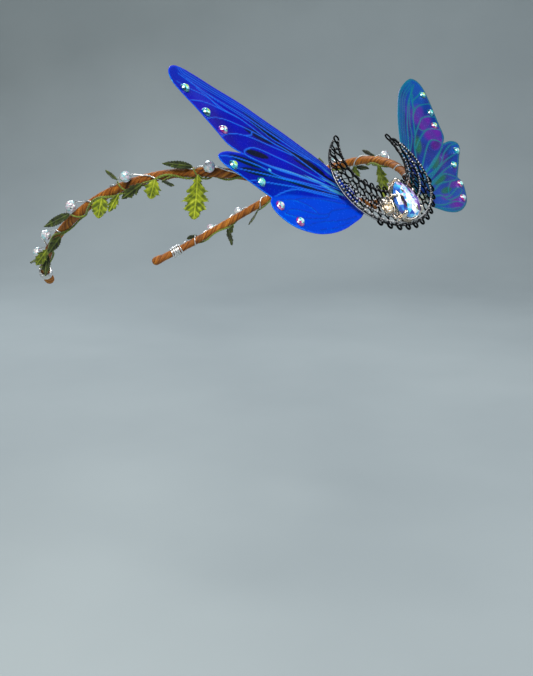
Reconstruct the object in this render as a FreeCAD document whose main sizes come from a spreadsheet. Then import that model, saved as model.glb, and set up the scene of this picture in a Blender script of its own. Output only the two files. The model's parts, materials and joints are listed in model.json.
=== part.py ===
# Fairy circlet: an open vine headband with a filigree crescent, a pear crystal
# and a pair of film wings at the front.  Millimetres, +Z up, the wearer faces -Y,
# the wearer's right is -X.  The origin is the middle of the headband's opening.
import FreeCAD
import Part
import math
import os
from FreeCAD import Placement, Rotation, Vector

doc = FreeCAD.newDocument("fairy_circlet")

# ---------------------------------------------------------------- driving sizes
SIZES = {
    # headband centre line, seen from above an ellipse that dips at front and back
    "band_half_width": 82.0,
    "band_half_length": 96.5,
    "band_rise": 40.3,
    "band_arch": 33.0,
    "band_dip": 13.2,
    "split_angle": 17.0,
    "end_angle": 149.0,
    "vine_diameter": 3.9,
    "core_diameter": 1.4,
    "core_play": 0.02,
    "end_diameter": 4.9,
    "joint_gap": 0.6,
    # wires and cords wound on the vine
    "wire_diameter": 0.6,
    "stem_diameter": 1.1,
    "stem_play": 0.15,
    "bead_diameter": 5.2,
    "bead_bore": 0.8,
    "bead_offset": 4.9,
    "coil_play": 0.25,
    "binding_diameter": 6.6,
    "binding_length": 7.0,
    # leaning plane of the crescent and wings
    "front_lean": 33.0,
    "front_setback": 99.9,
    "front_drop": 5.9,
    # crescent: an outer ellipse with an elliptical hollow
    "crescent_half_width": 40.8,
    "crescent_half_height": 24.6,
    "crescent_centre": 14.2,
    "hollow_half_width": 26.2,
    "hollow_half_height": 17.0,
    "hollow_centre": 24.0,
    "crescent_thickness": 1.0,
    "scallop_radius": 1.9,
    "scallop_hole": 0.95,
    # pear crystal and its claw setting
    "gem_half_width": 6.5,
    "gem_half_length": 9.0,
    "gem_girdle_height": 4.6,
    "gem_pavilion": 3.7,
    "gem_crown": 2.6,
    "gem_girdle": 0.5,
    "gem_centre": 0.2,
    "gem_turn": 22.0,
    "claw_diameter": 1.5,
    # small side crystal
    "side_radius": 2.7,
    "side_height": 2.6,
    "side_wall": 0.45,
    "side_play": 0.02,
    "side_across": 13.6,
    "side_centre": -1.4,
    # wings
    "wing_root": 36.0,
    "wing_hinge": 6.5,
    "wing_sweep": 3.9,
    "wing_setback": 1.5,
    "film_thickness": 0.35,
    "fore_tilt": 8.0,
    "stone_radius": 2.15,
    "stone_table": 1.15,
    "stone_height": 1.7,
    "glue_radius": 2.6,
    "glue_height": 1.8,
    "leaf_thickness": 0.35,
}

sheet = doc.addObject("Spreadsheet::Sheet", "sizes")
for row, (alias, value) in enumerate(SIZES.items(), start=1):
    sheet.set("A%d" % row, alias)
    sheet.set("B%d" % row, str(value))
    sheet.setAlias("B%d" % row, alias)
doc.recompute()


def size(alias):
    """A driving size, read back from the sheet."""
    return float(sheet.get(alias))


SIDES = (("right", -1), ("left", 1))
UP = Vector(0, 0, 1)
parts = []


def keep(obj, name, placement=None):
    """Label an object as a sub-part of the circlet and place it."""
    obj.Label = name
    if placement is not None:
        obj.Placement = placement
    parts.append(obj)
    return obj


def feature(name, shape, placement=None):
    """A sub-part whose shape comes from the functions below."""
    obj = doc.addObject("Part::Feature", name)
    obj.Shape = shape
    return keep(obj, name, placement)


# ------------------------------------------------------------- headband geometry
def band_point(angle, side):
    """Centre line of the headband, angle in degrees from the front."""
    along = math.cos(math.radians(angle))
    across = math.sin(math.radians(angle))
    height = (size("band_rise") * along
              - size("band_arch") * along ** 2
              - size("band_dip") * along ** 3)
    return Vector(side * size("band_half_width") * across,
                  -size("band_half_length") * along,
                  height)


def band_frame(angle, side):
    """Tangent (towards the back), outward and upward directions of the band."""
    step = 0.5
    tangent = band_point(angle + step, side) - band_point(angle - step, side)
    tangent.normalize()
    outward = tangent.cross(UP) * side
    outward.normalize()
    upward = outward.cross(tangent) * side
    upward.normalize()
    return tangent, outward, upward


def around_band(angle, side, radius, turn):
    """A point beside the vine: turn 0 is outward, 90 is up."""
    tangent, outward, upward = band_frame(angle, side)
    swing = math.radians(turn)
    return (band_point(angle, side)
            + outward * (radius * math.cos(swing))
            + upward * (radius * math.sin(swing)))


def rounded_path(points, share=0.45, longest=50.0):
    """Straight runs joined by tangent arcs, as one wire; longest limits each arc's reach."""
    edges = []
    start = points[0]
    for before, corner, after in zip(points, points[1:], points[2:]):
        run_in = corner - before
        run_out = after - corner
        reach = min(longest, share * min(run_in.Length, run_out.Length))
        run_in.normalize()
        run_out.normalize()
        turn = run_in.getAngle(run_out)
        radius = reach / math.tan(turn / 2)
        bisector = run_out - run_in
        bisector.normalize()
        arc_start = corner - run_in * reach
        arc_end = corner + run_out * reach
        arc_middle = corner + bisector * (radius / math.cos(turn / 2) - radius)
        edges.append(Part.LineSegment(start, arc_start).toShape())
        edges.append(Part.Arc(arc_start, arc_middle, arc_end).toShape())
        start = arc_end
    edges.append(Part.LineSegment(start, points[-1]).toShape())
    return Part.Wire(edges)


def tube(path, radius):
    """A solid round rod along a path."""
    first = path.OrderedEdges[0]
    begin = first.valueAt(first.FirstParameter)
    direction = first.tangentAt(first.FirstParameter)
    section = Part.Wire(Part.makeCircle(radius, begin, direction))
    return path.makePipeShell([section], True, False)


def band_path(first, last, side, step=9.0):
    """The headband's centre line between two angles."""
    count = max(2, round(abs(last - first) / step))
    angles = [first + (last - first) * i / count for i in range(count + 1)]
    return rounded_path([band_point(angle, side) for angle in angles])


# ------------------------------------------------------------ the front and wings
def front_placement(across=0.0, up=0.0, out=0.0, roll=0.0):
    """Local X across, Y up the leaning plane and Z out of it, towards the front."""
    lean = Rotation(Vector(1, 0, 0), 90 - size("front_lean"))
    plane = Placement(Vector(0, -size("front_setback"), -size("front_drop")), lean)
    return plane.multiply(Placement(Vector(across, up, out), Rotation(UP, roll)))


def wing_placement(side):
    """Wing frame: X across, Y up the wing and Z out of its front face."""
    root = front_placement(side * size("wing_root"), 0, -size("wing_setback"))
    return root.multiply(Placement(Vector(), Rotation(Vector(0, 1, 0), side * size("wing_sweep"))))


# outline of one wing: out from the root and up the wing
FORE_LEADING = [(-9.0, 9.5), (-1.8, 24.0), (9.5, 37.0), (21.0, 48.6), (33.4, 59.8), (46.0, 69.0), (56.0, 73.9)]
FORE_TRAILING = [(62.0, 75.2), (66.8, 73.3), (68.9, 68.6), (67.2, 62.0), (63.8, 53.8), (60.4, 45.0), (57.4, 37.2),
                 (52.0, 33.0)]
UPPER_HIND = [(52.0, 33.0), (61.0, 34.2), (67.6, 32.6), (66.8, 28.6), (61.0, 24.0), (53.6, 17.8), (47.6, 12.8)]
LOWER_HIND = [(47.6, 12.8), (50.0, 9.6), (48.0, 4.4), (42.0, -1.5), (32.4, -5.4), (22.0, -6.8),
              (12.4, -6.2), (4.0, -4.4), (-3.6, -2.2), (-9.4, 2.2), (-9.0, 9.5)]
NOTCH = FORE_TRAILING[-1]
CREASE_ANGLE = 30.0
STONES = [(63.4, 64.2), (59.4, 52.6), (54.8, 44.4), (61.6, 28.0), (49.6, 19.8), (45.2, 8.8), (38.5, 0.6)]


def spline_edge(points):
    """A smooth edge through the given outline points."""
    curve = Part.BSplineCurve()
    curve.interpolate([Vector(x, y, 0) for x, y in points])
    return curve.toShape()


def crease_frame():
    """Placement on the crease between fore and hind wing, X along the crease."""
    return Placement(Vector(NOTCH[0], NOTCH[1], 0), Rotation(UP, CREASE_ANGLE))


def half_plane(above, reach=150.0, depth=20.0):
    """A block covering one side of the crease."""
    offset = 0 if above else -reach
    block = Part.makeBox(2 * reach, reach, depth, Vector(-reach, offset, -depth / 2))
    block.Placement = crease_frame()
    return block


def film_sheet():
    """The whole wing film of the wearer's left side, bent back along its crease."""
    outline = Part.Wire([
        spline_edge(FORE_LEADING),
        spline_edge([FORE_LEADING[-1]] + FORE_TRAILING),
        spline_edge(UPPER_HIND),
        spline_edge(LOWER_HIND),
    ])
    flat = Part.Face(outline).extrude(Vector(0, 0, -size("film_thickness")))
    hind = flat.common(half_plane(False))
    fore = flat.common(half_plane(True))
    crease = crease_frame()
    along = crease.Rotation.multVec(Vector(1, 0, 0))
    fore.rotate(crease.Base, along, -size("fore_tilt"))
    return hind.fuse(fore).removeSplitter()


def mirrored(shape, side):
    """Shape of the given side, made from the left one."""
    if side > 0:
        return shape
    return shape.mirror(Vector(), Vector(1, 0, 0))


def film_point(out, up):
    """Placement on the front face of the left film, Z out of the face."""
    crease = crease_frame()
    local = crease.inverse().multVec(Vector(out, up, 0))
    if local.y <= 0:
        return Placement(Vector(out, up, 0), Rotation())
    tilt = Rotation(Vector(1, 0, 0), -size("fore_tilt"))
    base = crease.multVec(tilt.multVec(local))
    turn = Rotation(crease.Rotation.multVec(Vector(1, 0, 0)), -size("fore_tilt"))
    return Placement(base, turn)


def build_wing(name, side):
    """Film root, flexing film blade, glue pad and seven stones."""
    place = wing_placement(side)
    film = film_sheet()
    hinge = size("wing_hinge")
    gap = size("joint_gap")
    reach = 150.0
    root_block = Part.makeBox(reach, 2 * reach, reach, Vector(hinge - gap / 2 - reach, -reach, -reach / 2))
    blade_block = Part.makeBox(reach, 2 * reach, reach, Vector(hinge + gap / 2, -reach, -reach / 2))
    root = film.common(root_block)
    blade = film.common(blade_block)
    inboard = 6.4
    pad_centre = Vector(-inboard, 2.2, -size("glue_height"))
    closing = (inboard + size("glue_radius")) * math.sin(math.radians(size("wing_sweep")))
    clearance = size("wing_setback") - size("crescent_thickness") / 2 - closing
    pad = Part.makeCylinder(size("glue_radius"), size("glue_height") + clearance, pad_centre)
    pad = max(pad.cut(film).Solids, key=lambda solid: solid.CenterOfMass.z)
    feature("wing_%s_root" % name, mirrored(root.Solids[0], side), place)
    feature("wing_%s_film" % name, mirrored(blade.Solids[0], side), place)
    feature("wing_%s_glue" % name, mirrored(pad, side), place)
    for number, (out, up) in enumerate(STONES, start=1):
        seat = film_point(out, up)
        if side < 0:
            base = Vector(-seat.Base.x, seat.Base.y, seat.Base.z)
            quaternion = seat.Rotation.Q
            seat = Placement(base, Rotation(quaternion[0], -quaternion[1], -quaternion[2], quaternion[3]))
        stone = doc.addObject("Part::Cone", "wing_%s_stone_%d" % (name, number))
        stone.setExpression("Radius1", "sizes.stone_radius")
        stone.setExpression("Radius2", "sizes.stone_table")
        stone.setExpression("Height", "sizes.stone_height")
        keep(stone, "wing_%s_stone_%d" % (name, number), place.multiply(seat))


# -------------------------------------------------------------------- crescent
def sketch_on_plane(body, name, role="XY_Plane"):
    """A sketch attached to one of the body's own origin planes."""
    sketch = body.newObject("Sketcher::SketchObject", name)
    plane = [item for item in body.Origin.OriginFeatures if item.Role == role][0]
    sketch.AttachmentSupport = [(plane, "")]
    sketch.MapMode = "FlatFace"
    return sketch


def ellipse_at(height, half_width, half_height):
    """An upright ellipse on the crescent's centre line."""
    centre = Vector(0, height, 0)
    return Part.Ellipse(Vector(half_width, height, 0), Vector(0, height + half_height, 0), centre)


def outer_rim(angle, inset=0.0):
    """A point of the outer ellipse, angle in degrees from the bottom towards the left."""
    swing = math.radians(angle)
    return Vector((size("crescent_half_width") - inset) * math.sin(swing),
                  size("crescent_centre") - (size("crescent_half_height") - inset) * math.cos(swing), 0)


def hollow_rim(angle):
    """The matching point of the hollow's ellipse."""
    swing = math.radians(angle)
    return Vector(size("hollow_half_width") * math.sin(swing),
                  size("hollow_centre") - size("hollow_half_height") * math.cos(swing), 0)


def build_crescent():
    """Pierced plate with a row of scallop loops along its lower edge."""
    body = doc.addObject("PartDesign::Body", "crescent_filigree")
    thickness = size("crescent_thickness")

    outline = sketch_on_plane(body, "crescent_outline")
    outline.addGeometry(ellipse_at(size("crescent_centre"), size("crescent_half_width"),
                                   size("crescent_half_height")), False)
    plate = body.newObject("PartDesign::Pad", "crescent_plate")
    plate.Profile = outline
    plate.Midplane = True
    plate.setExpression("Length", "sizes.crescent_thickness")
    doc.recompute()

    hollow = sketch_on_plane(body, "crescent_hollow")
    hollow.addGeometry(ellipse_at(size("hollow_centre"), size("hollow_half_width"),
                                  size("hollow_half_height")), False)
    opening = body.newObject("PartDesign::Pocket", "crescent_opening")
    opening.Profile = hollow
    opening.Midplane = True
    opening.Type = "ThroughAll"
    doc.recompute()

    scallops = sketch_on_plane(body, "scallop_discs")
    eyes = sketch_on_plane(body, "scallop_eyes")
    first, last, count = -34.0, 82.0, 12
    for index in range(count):
        angle = first + (last - first) * index / (count - 1)
        centre = outer_rim(angle, -0.6)
        scallops.addGeometry(Part.Circle(centre, UP, size("scallop_radius")), False)
        eyes.addGeometry(Part.Circle(centre, UP, size("scallop_hole")), False)
    discs = body.newObject("PartDesign::Pad", "scallops")
    discs.Profile = scallops
    discs.Midplane = True
    discs.setExpression("Length", "sizes.crescent_thickness")
    doc.recompute()

    piercing = sketch_on_plane(body, "piercings")
    pierced_rows = 15
    widest = 118.0
    for index in range(pierced_rows):
        angle = widest * (2 * index / (pierced_rows - 1) - 1)
        rim = outer_rim(angle)
        inner = hollow_rim(angle)
        middle = (rim + inner) * 0.5
        room = (rim - inner).Length
        if abs(middle.x) > size("gem_half_width") + 3.5:
            piercing.addGeometry(Part.Circle(middle, UP, min(0.2 * room, 2.6)), False)
    for item, sketch in (("eye_cut", eyes), ("piercing_cut", piercing)):
        cut = body.newObject("PartDesign::Pocket", item)
        cut.Profile = sketch
        cut.Midplane = True
        cut.Type = "ThroughAll"
        doc.recompute()
    before = discs.Shape.Volume
    if not 0 < body.Shape.Volume < before:
        raise RuntimeError("the piercings cut nothing from a %.1f mm plate" % thickness)
    keep(body, "crescent_filigree", front_placement())


# ------------------------------------------------------------- gem and settings
def pear(turn, grow=0.0):
    """Outline of the pear: turn 0 is its point, 180 its round end."""
    swing = math.radians(turn)
    fullest = 0.862
    taper = math.sqrt(abs(math.sin(swing / 2)))
    across = (size("gem_half_width") + grow) / fullest * math.sin(swing) * taper
    return Vector(across, (size("gem_half_length") + grow) * math.cos(swing), 0)


def pear_polygon(scale, height, corners=16, grow=0.0):
    """A closed polygon of the pear's shape at a height."""
    points = [pear(360.0 * (i + 0.5) / corners, grow) * scale + UP * height for i in range(corners)]
    return Part.makePolygon(points + points[:1])


def gem_frame(height=0.0):
    """The basket's own frame: turned about the leaning plane's Y, towards the wearer's right."""
    foot = front_placement(0, size("gem_centre"), size("crescent_thickness") / 2)
    return foot.multiply(Placement(Vector(), Rotation(Vector(0, 1, 0), -size("gem_turn")))).multiply(
        Placement(UP * height, Rotation()))


def build_gem():
    """Faceted pear crystal: pavilion, girdle band and crown with a flat table."""
    body = doc.addObject("PartDesign::Body", "pear_gem")
    levels = [
        ("culet", 0.22, "-sizes.gem_pavilion"),
        ("girdle_low", 1.0, "0 mm"),
        ("girdle_high", 1.0, "sizes.gem_girdle"),
        ("table", 0.58, "sizes.gem_crown"),
    ]
    corners = 16
    profiles = []
    for name, scale, height in levels:
        sketch = sketch_on_plane(body, name)
        points = [pear(360.0 * (i + 0.5) / corners) * scale for i in range(corners)]
        for begin, end in zip(points, points[1:] + points[:1]):
            sketch.addGeometry(Part.LineSegment(begin, end), False)
        sketch.setExpression("AttachmentOffset.Base.z", height)
        profiles.append(sketch)
    doc.recompute()
    loft = body.newObject("PartDesign::AdditiveLoft", "facets")
    loft.Profile = profiles[0]
    loft.Sections = profiles[1:]
    loft.Ruled = True
    loft.Closed = False
    keep(body, "pear_gem", gem_frame(size("gem_girdle_height")))


def pear_band(low, high, scale_out, scale_in):
    """A flat pear-shaped ring between two heights."""
    outer = Part.Face(pear_polygon(scale_out, low, 32, 0.4))
    inner = Part.Face(pear_polygon(scale_in, low, 32, 0.4))
    return outer.cut(inner).extrude(UP * (high - low))


def build_setting():
    """Open basket: flat base ring, and a turned seat ring with five claws over the girdle."""
    girdle = size("gem_girdle_height")
    turn_back = Rotation(Vector(0, 1, 0), size("gem_turn"))
    claw_radius = size("claw_diameter") / 2
    top = girdle + size("gem_girdle") + 0.9
    basket = pear_band(girdle - 1.3, girdle - 0.5, 1.06, 0.867)
    for turn in (2.0, 72.0, 136.0, 224.0, 288.0):
        foot = pear(turn, claw_radius + 0.35)
        level = foot.x * math.tan(math.radians(size("gem_turn"))) * -1
        post = Part.makeCylinder(claw_radius, top - level, foot + UP * level)
        nib = Part.makeSphere(claw_radius, pear(turn, 0.3) + UP * top)
        basket = basket.fuse([post, nib])
    ring = pear_band(0, 1.1, 1.12, 0.74)
    ring.Placement = Placement(Vector(), turn_back)
    basket = basket.fuse(ring)
    below = Part.makeBox(60, 60, 20, Vector(-30, -30, -20))
    below.Placement = Placement(Vector(), turn_back)
    feature("gem_setting", basket.cut(below).removeSplitter(), gem_frame())


def build_side_crystal():
    """Small round crystal in its own cup, beside the pear on the wearer's right."""
    place = front_placement(-size("side_across"), size("side_centre"), size("crescent_thickness") / 2)
    wall = size("side_wall")
    cup = doc.addObject("Part::Cylinder", "side_cup_outer")
    cup.setExpression("Radius", "sizes.side_radius + sizes.side_wall")
    cup.setExpression("Height", "sizes.side_height * 0.7")
    bore = doc.addObject("Part::Cylinder", "side_cup_bore")
    bore.setExpression("Radius", "sizes.side_radius + sizes.side_play")
    bore.setExpression("Height", "sizes.side_height")
    bore.Placement = Placement(UP * wall, Rotation())
    setting = doc.addObject("Part::Cut", "side_setting")
    setting.Base = cup
    setting.Tool = bore
    keep(setting, "side_setting", place)
    stone = doc.addObject("Part::Cone", "side_stone")
    stone.setExpression("Radius1", "sizes.side_radius")
    stone.setExpression("Radius2", "sizes.side_radius * 0.5")
    stone.setExpression("Height", "sizes.side_height")
    keep(stone, "side_stone", place.multiply(Placement(UP * wall, Rotation())))


# ------------------------------------------------------------------- headband
def build_vine(name, first, last, side, closed_end):
    """Steel core inside a paper-wrapped tube; closed_end adds the folded-back tip."""
    core_radius = size("core_diameter") / 2
    core_last = last - size("end_diameter") / size("band_half_width") * math.degrees(1) if closed_end else last
    core = tube(band_path(first, core_last, side), core_radius)
    bore = tube(band_path(first, core_last, side), core_radius + size("core_play"))
    solid_wrap = tube(band_path(first, last, side), size("vine_diameter") / 2)
    wrap = solid_wrap.cut(bore)
    if wrap.Volume > solid_wrap.Volume - 0.9 * bore.Volume:
        raise RuntimeError("%s has no bore for its core" % name)
    if closed_end:
        wrap = wrap.fuse(Part.makeSphere(size("end_diameter") / 2, band_point(last, side)))
    feature("%s_core" % name, core)
    feature("%s_wrap" % name, wrap)


BEADS = [(59.6, 31.0), (81.8, 37.0), (102.0, 46.0), (117.5, 32.0), (127.5, 23.0)]
WIRE_TURNS = [3, 1, 1, 1, 0, 1]


def bead_axis(angle, turn, side):
    """Centre of a bead and the direction of the wire through it."""
    centre = around_band(angle, side, size("bead_offset"), turn)
    tangent = band_frame(angle, side)[0]
    return centre, tangent


def wire_route(side):
    """The silver wire: coils round the vine and a straight run through each bead."""
    coil_radius = (size("vine_diameter") + size("wire_diameter")) / 2 + size("coil_play")
    start_angle, start_turn = 21.0, 200.0
    finish_angle, finish_turn = 137.9, 100.0
    half_run = 0.5 * size("bead_diameter") + 1.1
    points = [around_band(start_angle, side, coil_radius, start_turn)]
    stations = [(start_angle, start_turn)] + BEADS + [(finish_angle, finish_turn)]
    for index, turns in enumerate(WIRE_TURNS):
        (angle_a, turn_a), (angle_b, turn_b) = stations[index], stations[index + 1]
        sweep = turn_b - turn_a + 360.0 * turns
        corners = max(1, round(abs(sweep) / 45.0))
        margin = 3.2
        low = angle_a + (margin + 1.2 if index else 1.5)
        high = angle_b - (margin + 1.2)
        for step in range(corners):
            share = (step + 0.5) / corners
            angle = low + (high - low) * share
            points.append(around_band(angle, side, coil_radius, turn_a + sweep * share))
        if index < len(BEADS):
            centre, tangent = bead_axis(angle_b, turn_b, side)
            points.append(centre - tangent * half_run)
            points.append(centre + tangent * half_run)
    points.append(around_band(finish_angle, side, coil_radius, finish_turn))
    return points


def build_beads(name, side):
    """Crystal beads threaded on the wire, each with its own bore."""
    for number, (angle, turn) in enumerate(BEADS, start=1):
        centre, tangent = bead_axis(angle, turn, side)
        ball = doc.addObject("Part::Sphere", "%s_ball_%d" % (name, number))
        ball.setExpression("Radius", "sizes.bead_diameter / 2")
        hole = doc.addObject("Part::Cylinder", "%s_hole_%d" % (name, number))
        hole.setExpression("Radius", "sizes.bead_bore / 2")
        hole.setExpression("Height", "sizes.bead_diameter * 1.2")
        hole.setExpression("Placement.Base.z", "-sizes.bead_diameter * 0.6")
        bead = doc.addObject("Part::Cut", "%s_bead_%d" % (name, number))
        bead.Base = ball
        bead.Tool = hole
        keep(bead, "%s_bead_%d" % (name, number), Placement(centre, Rotation(UP, tangent)))


def stem_route(side):
    """The garland's cord, winding slowly along the lower outer side of the vine."""
    reach = (size("vine_diameter") + size("stem_diameter")) / 2 + size("stem_play")
    first, last, step = 44.0, 136.0, 4.6
    count = round((last - first) / step)
    points = []
    for index in range(count + 1):
        angle = first + (last - first) * index / count
        turn = -75.0 + 38.0 * math.sin(math.radians(8.0 * (angle - first)))
        points.append(around_band(angle, side, reach, turn))
    return points


# ---------------------------------------------------------------------- leaves
def leaf_outline(kind, length, width):
    """Half-widths along the leaf from stalk to tip, as a list of points."""
    stalk = 0.35
    lobes = {"oak": 3.5, "lobed": 2.5, "round": 0.0, "slender": 0.0}[kind]
    depth = {"oak": 0.42, "lobed": 0.3, "round": 0.0, "slender": 0.0}[kind]
    bulge = {"oak": 0.9, "lobed": 0.85, "round": 0.75, "slender": 0.8}[kind]
    count = 16
    side_points = []
    for index in range(count + 1):
        along = index / count
        half = 0.5 * width * math.sin(math.pi * along ** bulge) ** 0.7 if 0 < along < 1 else 0.0
        half *= 1.0 - depth * abs(math.sin(math.pi * lobes * along))
        side_points.append((along * length, max(half, stalk)))
    upper = [Vector(x, y, 0) for x, y in side_points]
    lower = [Vector(x, -y, 0) for x, y in reversed(side_points)]
    return upper + lower


# name, kind, band angle, turn round the vine, length, width, (back, out, up) direction, curl
LEAVES = {
    "leaf_oak": [("oak", 62.6, -18.0, 19.5, 12.6, (-0.02, 0.30, -0.95))],
    "leaf_round": [("round", 90.8, -25.0, 9.2, 8.4, (-0.05, 0.30, -0.95))],
    "leaves_front": [
        ("slender", 64.0, 40.0, 13.0, 3.8, (0.96, 0.10, 0.18)),
        ("lobed", 74.0, -22.0, 8.6, 8.8, (0.15, 0.35, -0.92)),
        ("slender", 72.5, -48.0, 7.5, 3.6, (-0.88, 0.35, -0.30)),
        ("slender", 85.5, 70.0, 6.5, 3.4, (0.60, 0.35, 0.70)),
    ],
    "leaves_middle": [
        ("lobed", 78.0, -30.0, 11.0, 5.6, (0.86, 0.30, -0.42)),
        ("lobed", 86.0, -52.0, 8.6, 5.2, (0.50, 0.36, -0.79)),
        ("slender", 103.4, 12.0, 15.0, 4.6, (0.93, 0.34, 0.02)),
        ("slender", 112.0, -58.0, 11.0, 4.2, (0.78, 0.38, -0.50)),
    ],
    "leaves_end": [
        ("lobed", 120.5, -40.0, 10.0, 6.5, (0.60, 0.52, -0.60)),
        ("lobed", 123.0, -62.0, 10.5, 5.6, (-0.25, 0.20, -0.95)),
        ("slender", 132.5, 36.0, 8.0, 3.8, (0.85, 0.50, 0.10)),
    ],
}


def leaf_solid(kind, angle, turn, length, width, heading, side):
    """One flat leaf standing off the garland's cord."""
    tangent, outward, upward = band_frame(angle, side)
    back, out, up = heading
    along = tangent * back + outward * out + UP * up
    along.normalize()
    stand_off = size("vine_diameter") / 2 + size("stem_diameter") + 0.45
    base = around_band(angle, side, stand_off, turn)
    radial = base - band_point(angle, side)
    facing = radial - along * radial.dot(along)
    facing.normalize()
    across = facing.cross(along)
    frame = Placement(FreeCAD.Matrix(along.x, across.x, facing.x, base.x,
                                     along.y, across.y, facing.y, base.y,
                                     along.z, across.z, facing.z, base.z,
                                     0, 0, 0, 1))
    outline = leaf_outline(kind, length, width)
    face = Part.Face(Part.makePolygon(outline + outline[:1]))
    blade = face.extrude(UP * size("leaf_thickness"))
    blade.Placement = frame
    return blade


def build_arm(name, side):
    """One half of the headband behind its split, with all that is wound on it."""
    gap_angle = 0.5 * size("joint_gap") / size("band_half_width") * math.degrees(1)
    build_vine("vine_%s" % name, size("split_angle") + gap_angle, size("end_angle"), side, True)
    feature("bead_wire_%s" % name, tube(rounded_path(wire_route(side), longest=0.8), size("wire_diameter") / 2))
    feature("garland_stem_%s" % name, tube(rounded_path(stem_route(side)), size("stem_diameter") / 2))
    half_binding = 0.5 * size("binding_length") / 88.0 * math.degrees(1)
    middle = 140.9
    sleeve = tube(band_path(middle - half_binding, middle + half_binding, side), size("binding_diameter") / 2)
    hole = tube(band_path(middle - half_binding, middle + half_binding, side), size("vine_diameter") / 2 + 0.03)
    feature("end_binding_%s" % name, sleeve.cut(hole))
    build_beads(name, side)
    for group, leaves in LEAVES.items():
        solids = [leaf_solid(*leaf, side) for leaf in leaves]
        shape = solids[0] if len(solids) == 1 else Part.makeCompound(solids)
        feature("%s_%s" % (name, group), shape)


def build_lashing(name, side):
    """Wire tie that holds the crescent's lower band on the front of the vine."""
    angle, half_angle = 8.0, 1.5
    path = band_path(side * (angle - half_angle), side * (angle + half_angle), 1)
    outer = tube(path, size("vine_diameter") / 2 + 0.7)
    inner = tube(path, size("vine_diameter") / 2 + 0.03)
    centre = band_point(angle, side)
    plane = front_placement()
    local = plane.inverse().multVec(centre)
    face = -size("crescent_thickness") / 2
    tie = Part.makeBox(3.6, 3.6, 6.0, Vector(local.x - 1.8, local.y - 1.8, local.z))
    tie.translate(UP * (face - local.z - 6.0))
    tie = tie.common(Part.makeBox(9, 9, face - local.z, Vector(local.x - 4.5, local.y - 4.5, local.z)))
    tie.Placement = plane.multiply(tie.Placement)
    vine = tube(band_path(-16.0, 16.0, 1), size("vine_diameter") / 2 + 0.03)
    feature("lashing_%s" % name, outer.cut(inner).fuse(tie.cut(vine)).removeSplitter())


def build_all():
    """Every sub-part of the circlet."""
    gap_angle = 0.5 * size("joint_gap") / size("band_half_width") * math.degrees(1)
    split = size("split_angle") - gap_angle
    build_crescent()
    build_gem()
    build_setting()
    build_side_crystal()
    build_vine("vine_front", -split, split, 1, False)
    for name, side in SIDES:
        build_lashing(name, side)
        build_wing(name, side)
        build_arm(name, side)


build_all()
doc.recompute()
for item in doc.Objects:
    if "Invalid" in item.State or "Error" in item.State:
        raise RuntimeError("%s did not recompute: %s" % (item.Label, item.State))
for item in parts:
    if item.Shape.isNull() or not item.Shape.isValid():
        raise RuntimeError("%s has no valid shape" % item.Label)

os.makedirs("parts", exist_ok=True)
for item in parts:
    item.Shape.exportStep("parts/%s.step" % item.Label)
print("%d sub-parts written" % len(parts))
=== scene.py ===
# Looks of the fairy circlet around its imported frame: +Z up, the wearer faces -Y, the wearer's right is -X.
# Lengths are millimetres in the wearer's frame until Piece.build turns them to metres.
import json
import math
import random

import bpy
import numpy as np
from mathutils import Matrix, Vector, noise
from mathutils.geometry import delaunay_2d_cdt


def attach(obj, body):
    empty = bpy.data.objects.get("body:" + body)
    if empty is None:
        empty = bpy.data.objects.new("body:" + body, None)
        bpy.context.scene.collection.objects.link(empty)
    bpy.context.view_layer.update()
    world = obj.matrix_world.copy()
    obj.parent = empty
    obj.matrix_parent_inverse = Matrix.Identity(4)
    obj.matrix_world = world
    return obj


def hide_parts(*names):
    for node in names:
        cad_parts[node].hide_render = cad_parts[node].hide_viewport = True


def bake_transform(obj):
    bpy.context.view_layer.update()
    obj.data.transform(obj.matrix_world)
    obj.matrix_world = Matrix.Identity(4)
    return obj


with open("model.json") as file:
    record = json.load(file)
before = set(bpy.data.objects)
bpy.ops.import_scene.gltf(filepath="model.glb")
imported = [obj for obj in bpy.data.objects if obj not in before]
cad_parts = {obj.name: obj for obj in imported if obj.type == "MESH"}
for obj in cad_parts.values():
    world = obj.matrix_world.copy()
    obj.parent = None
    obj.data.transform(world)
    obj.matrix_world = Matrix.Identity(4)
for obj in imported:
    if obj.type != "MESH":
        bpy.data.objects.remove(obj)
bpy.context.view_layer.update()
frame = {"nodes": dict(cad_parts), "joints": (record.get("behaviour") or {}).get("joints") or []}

MM = 0.001
SIDES = (("right", -1), ("left", 1))
UP = Vector((0, 0, 1))
JOINTS = {joint["name"]: joint for joint in frame["joints"]}


# ------------------------------------------------------------------ materials
def colour(code):
    """An sRGB hex colour as linear RGBA."""
    parts = [int(code[i:i + 2], 16) / 255 for i in (1, 3, 5)]
    return tuple(c / 12.92 if c <= 0.04045 else ((c + 0.055) / 1.055) ** 2.4 for c in parts) + (1.0,)


def node(tree, kind, inputs=None, stops=None, **settings):
    """Adds a node, sets its options and colour stops, and fills or links its inputs."""
    item = tree.nodes.new("ShaderNode" + kind)
    for key, value in settings.items():
        setattr(item, key, value)
    if stops:
        band = item.color_ramp
        while len(band.elements) < len(stops):
            band.elements.new(0.5)
        for element, (place, code) in zip(band.elements, stops):
            element.position = place
            element.color = colour(code)
    for key, value in (inputs or {}).items():
        if isinstance(value, bpy.types.NodeSocket):
            tree.links.new(value, item.inputs[key])
        else:
            item.inputs[key].default_value = value
    return item


def finish(name, **values):
    """A new material and its surface shader, with the shader's own sockets set."""
    material = bpy.data.materials.new(name)
    material.use_nodes = True
    tree = material.node_tree
    tree.nodes.clear()
    settings = {key.replace("_", " "): value for key, value in values.items()}
    shader = node(tree, "BsdfPrincipled", settings)
    node(tree, "OutputMaterial", {"Surface": shader.outputs[0]})
    return material, tree, shader


def per_mm(size):
    """Texture scale that makes a pattern about this many millimetres large."""
    return 1.0 / (size * MM)


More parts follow.
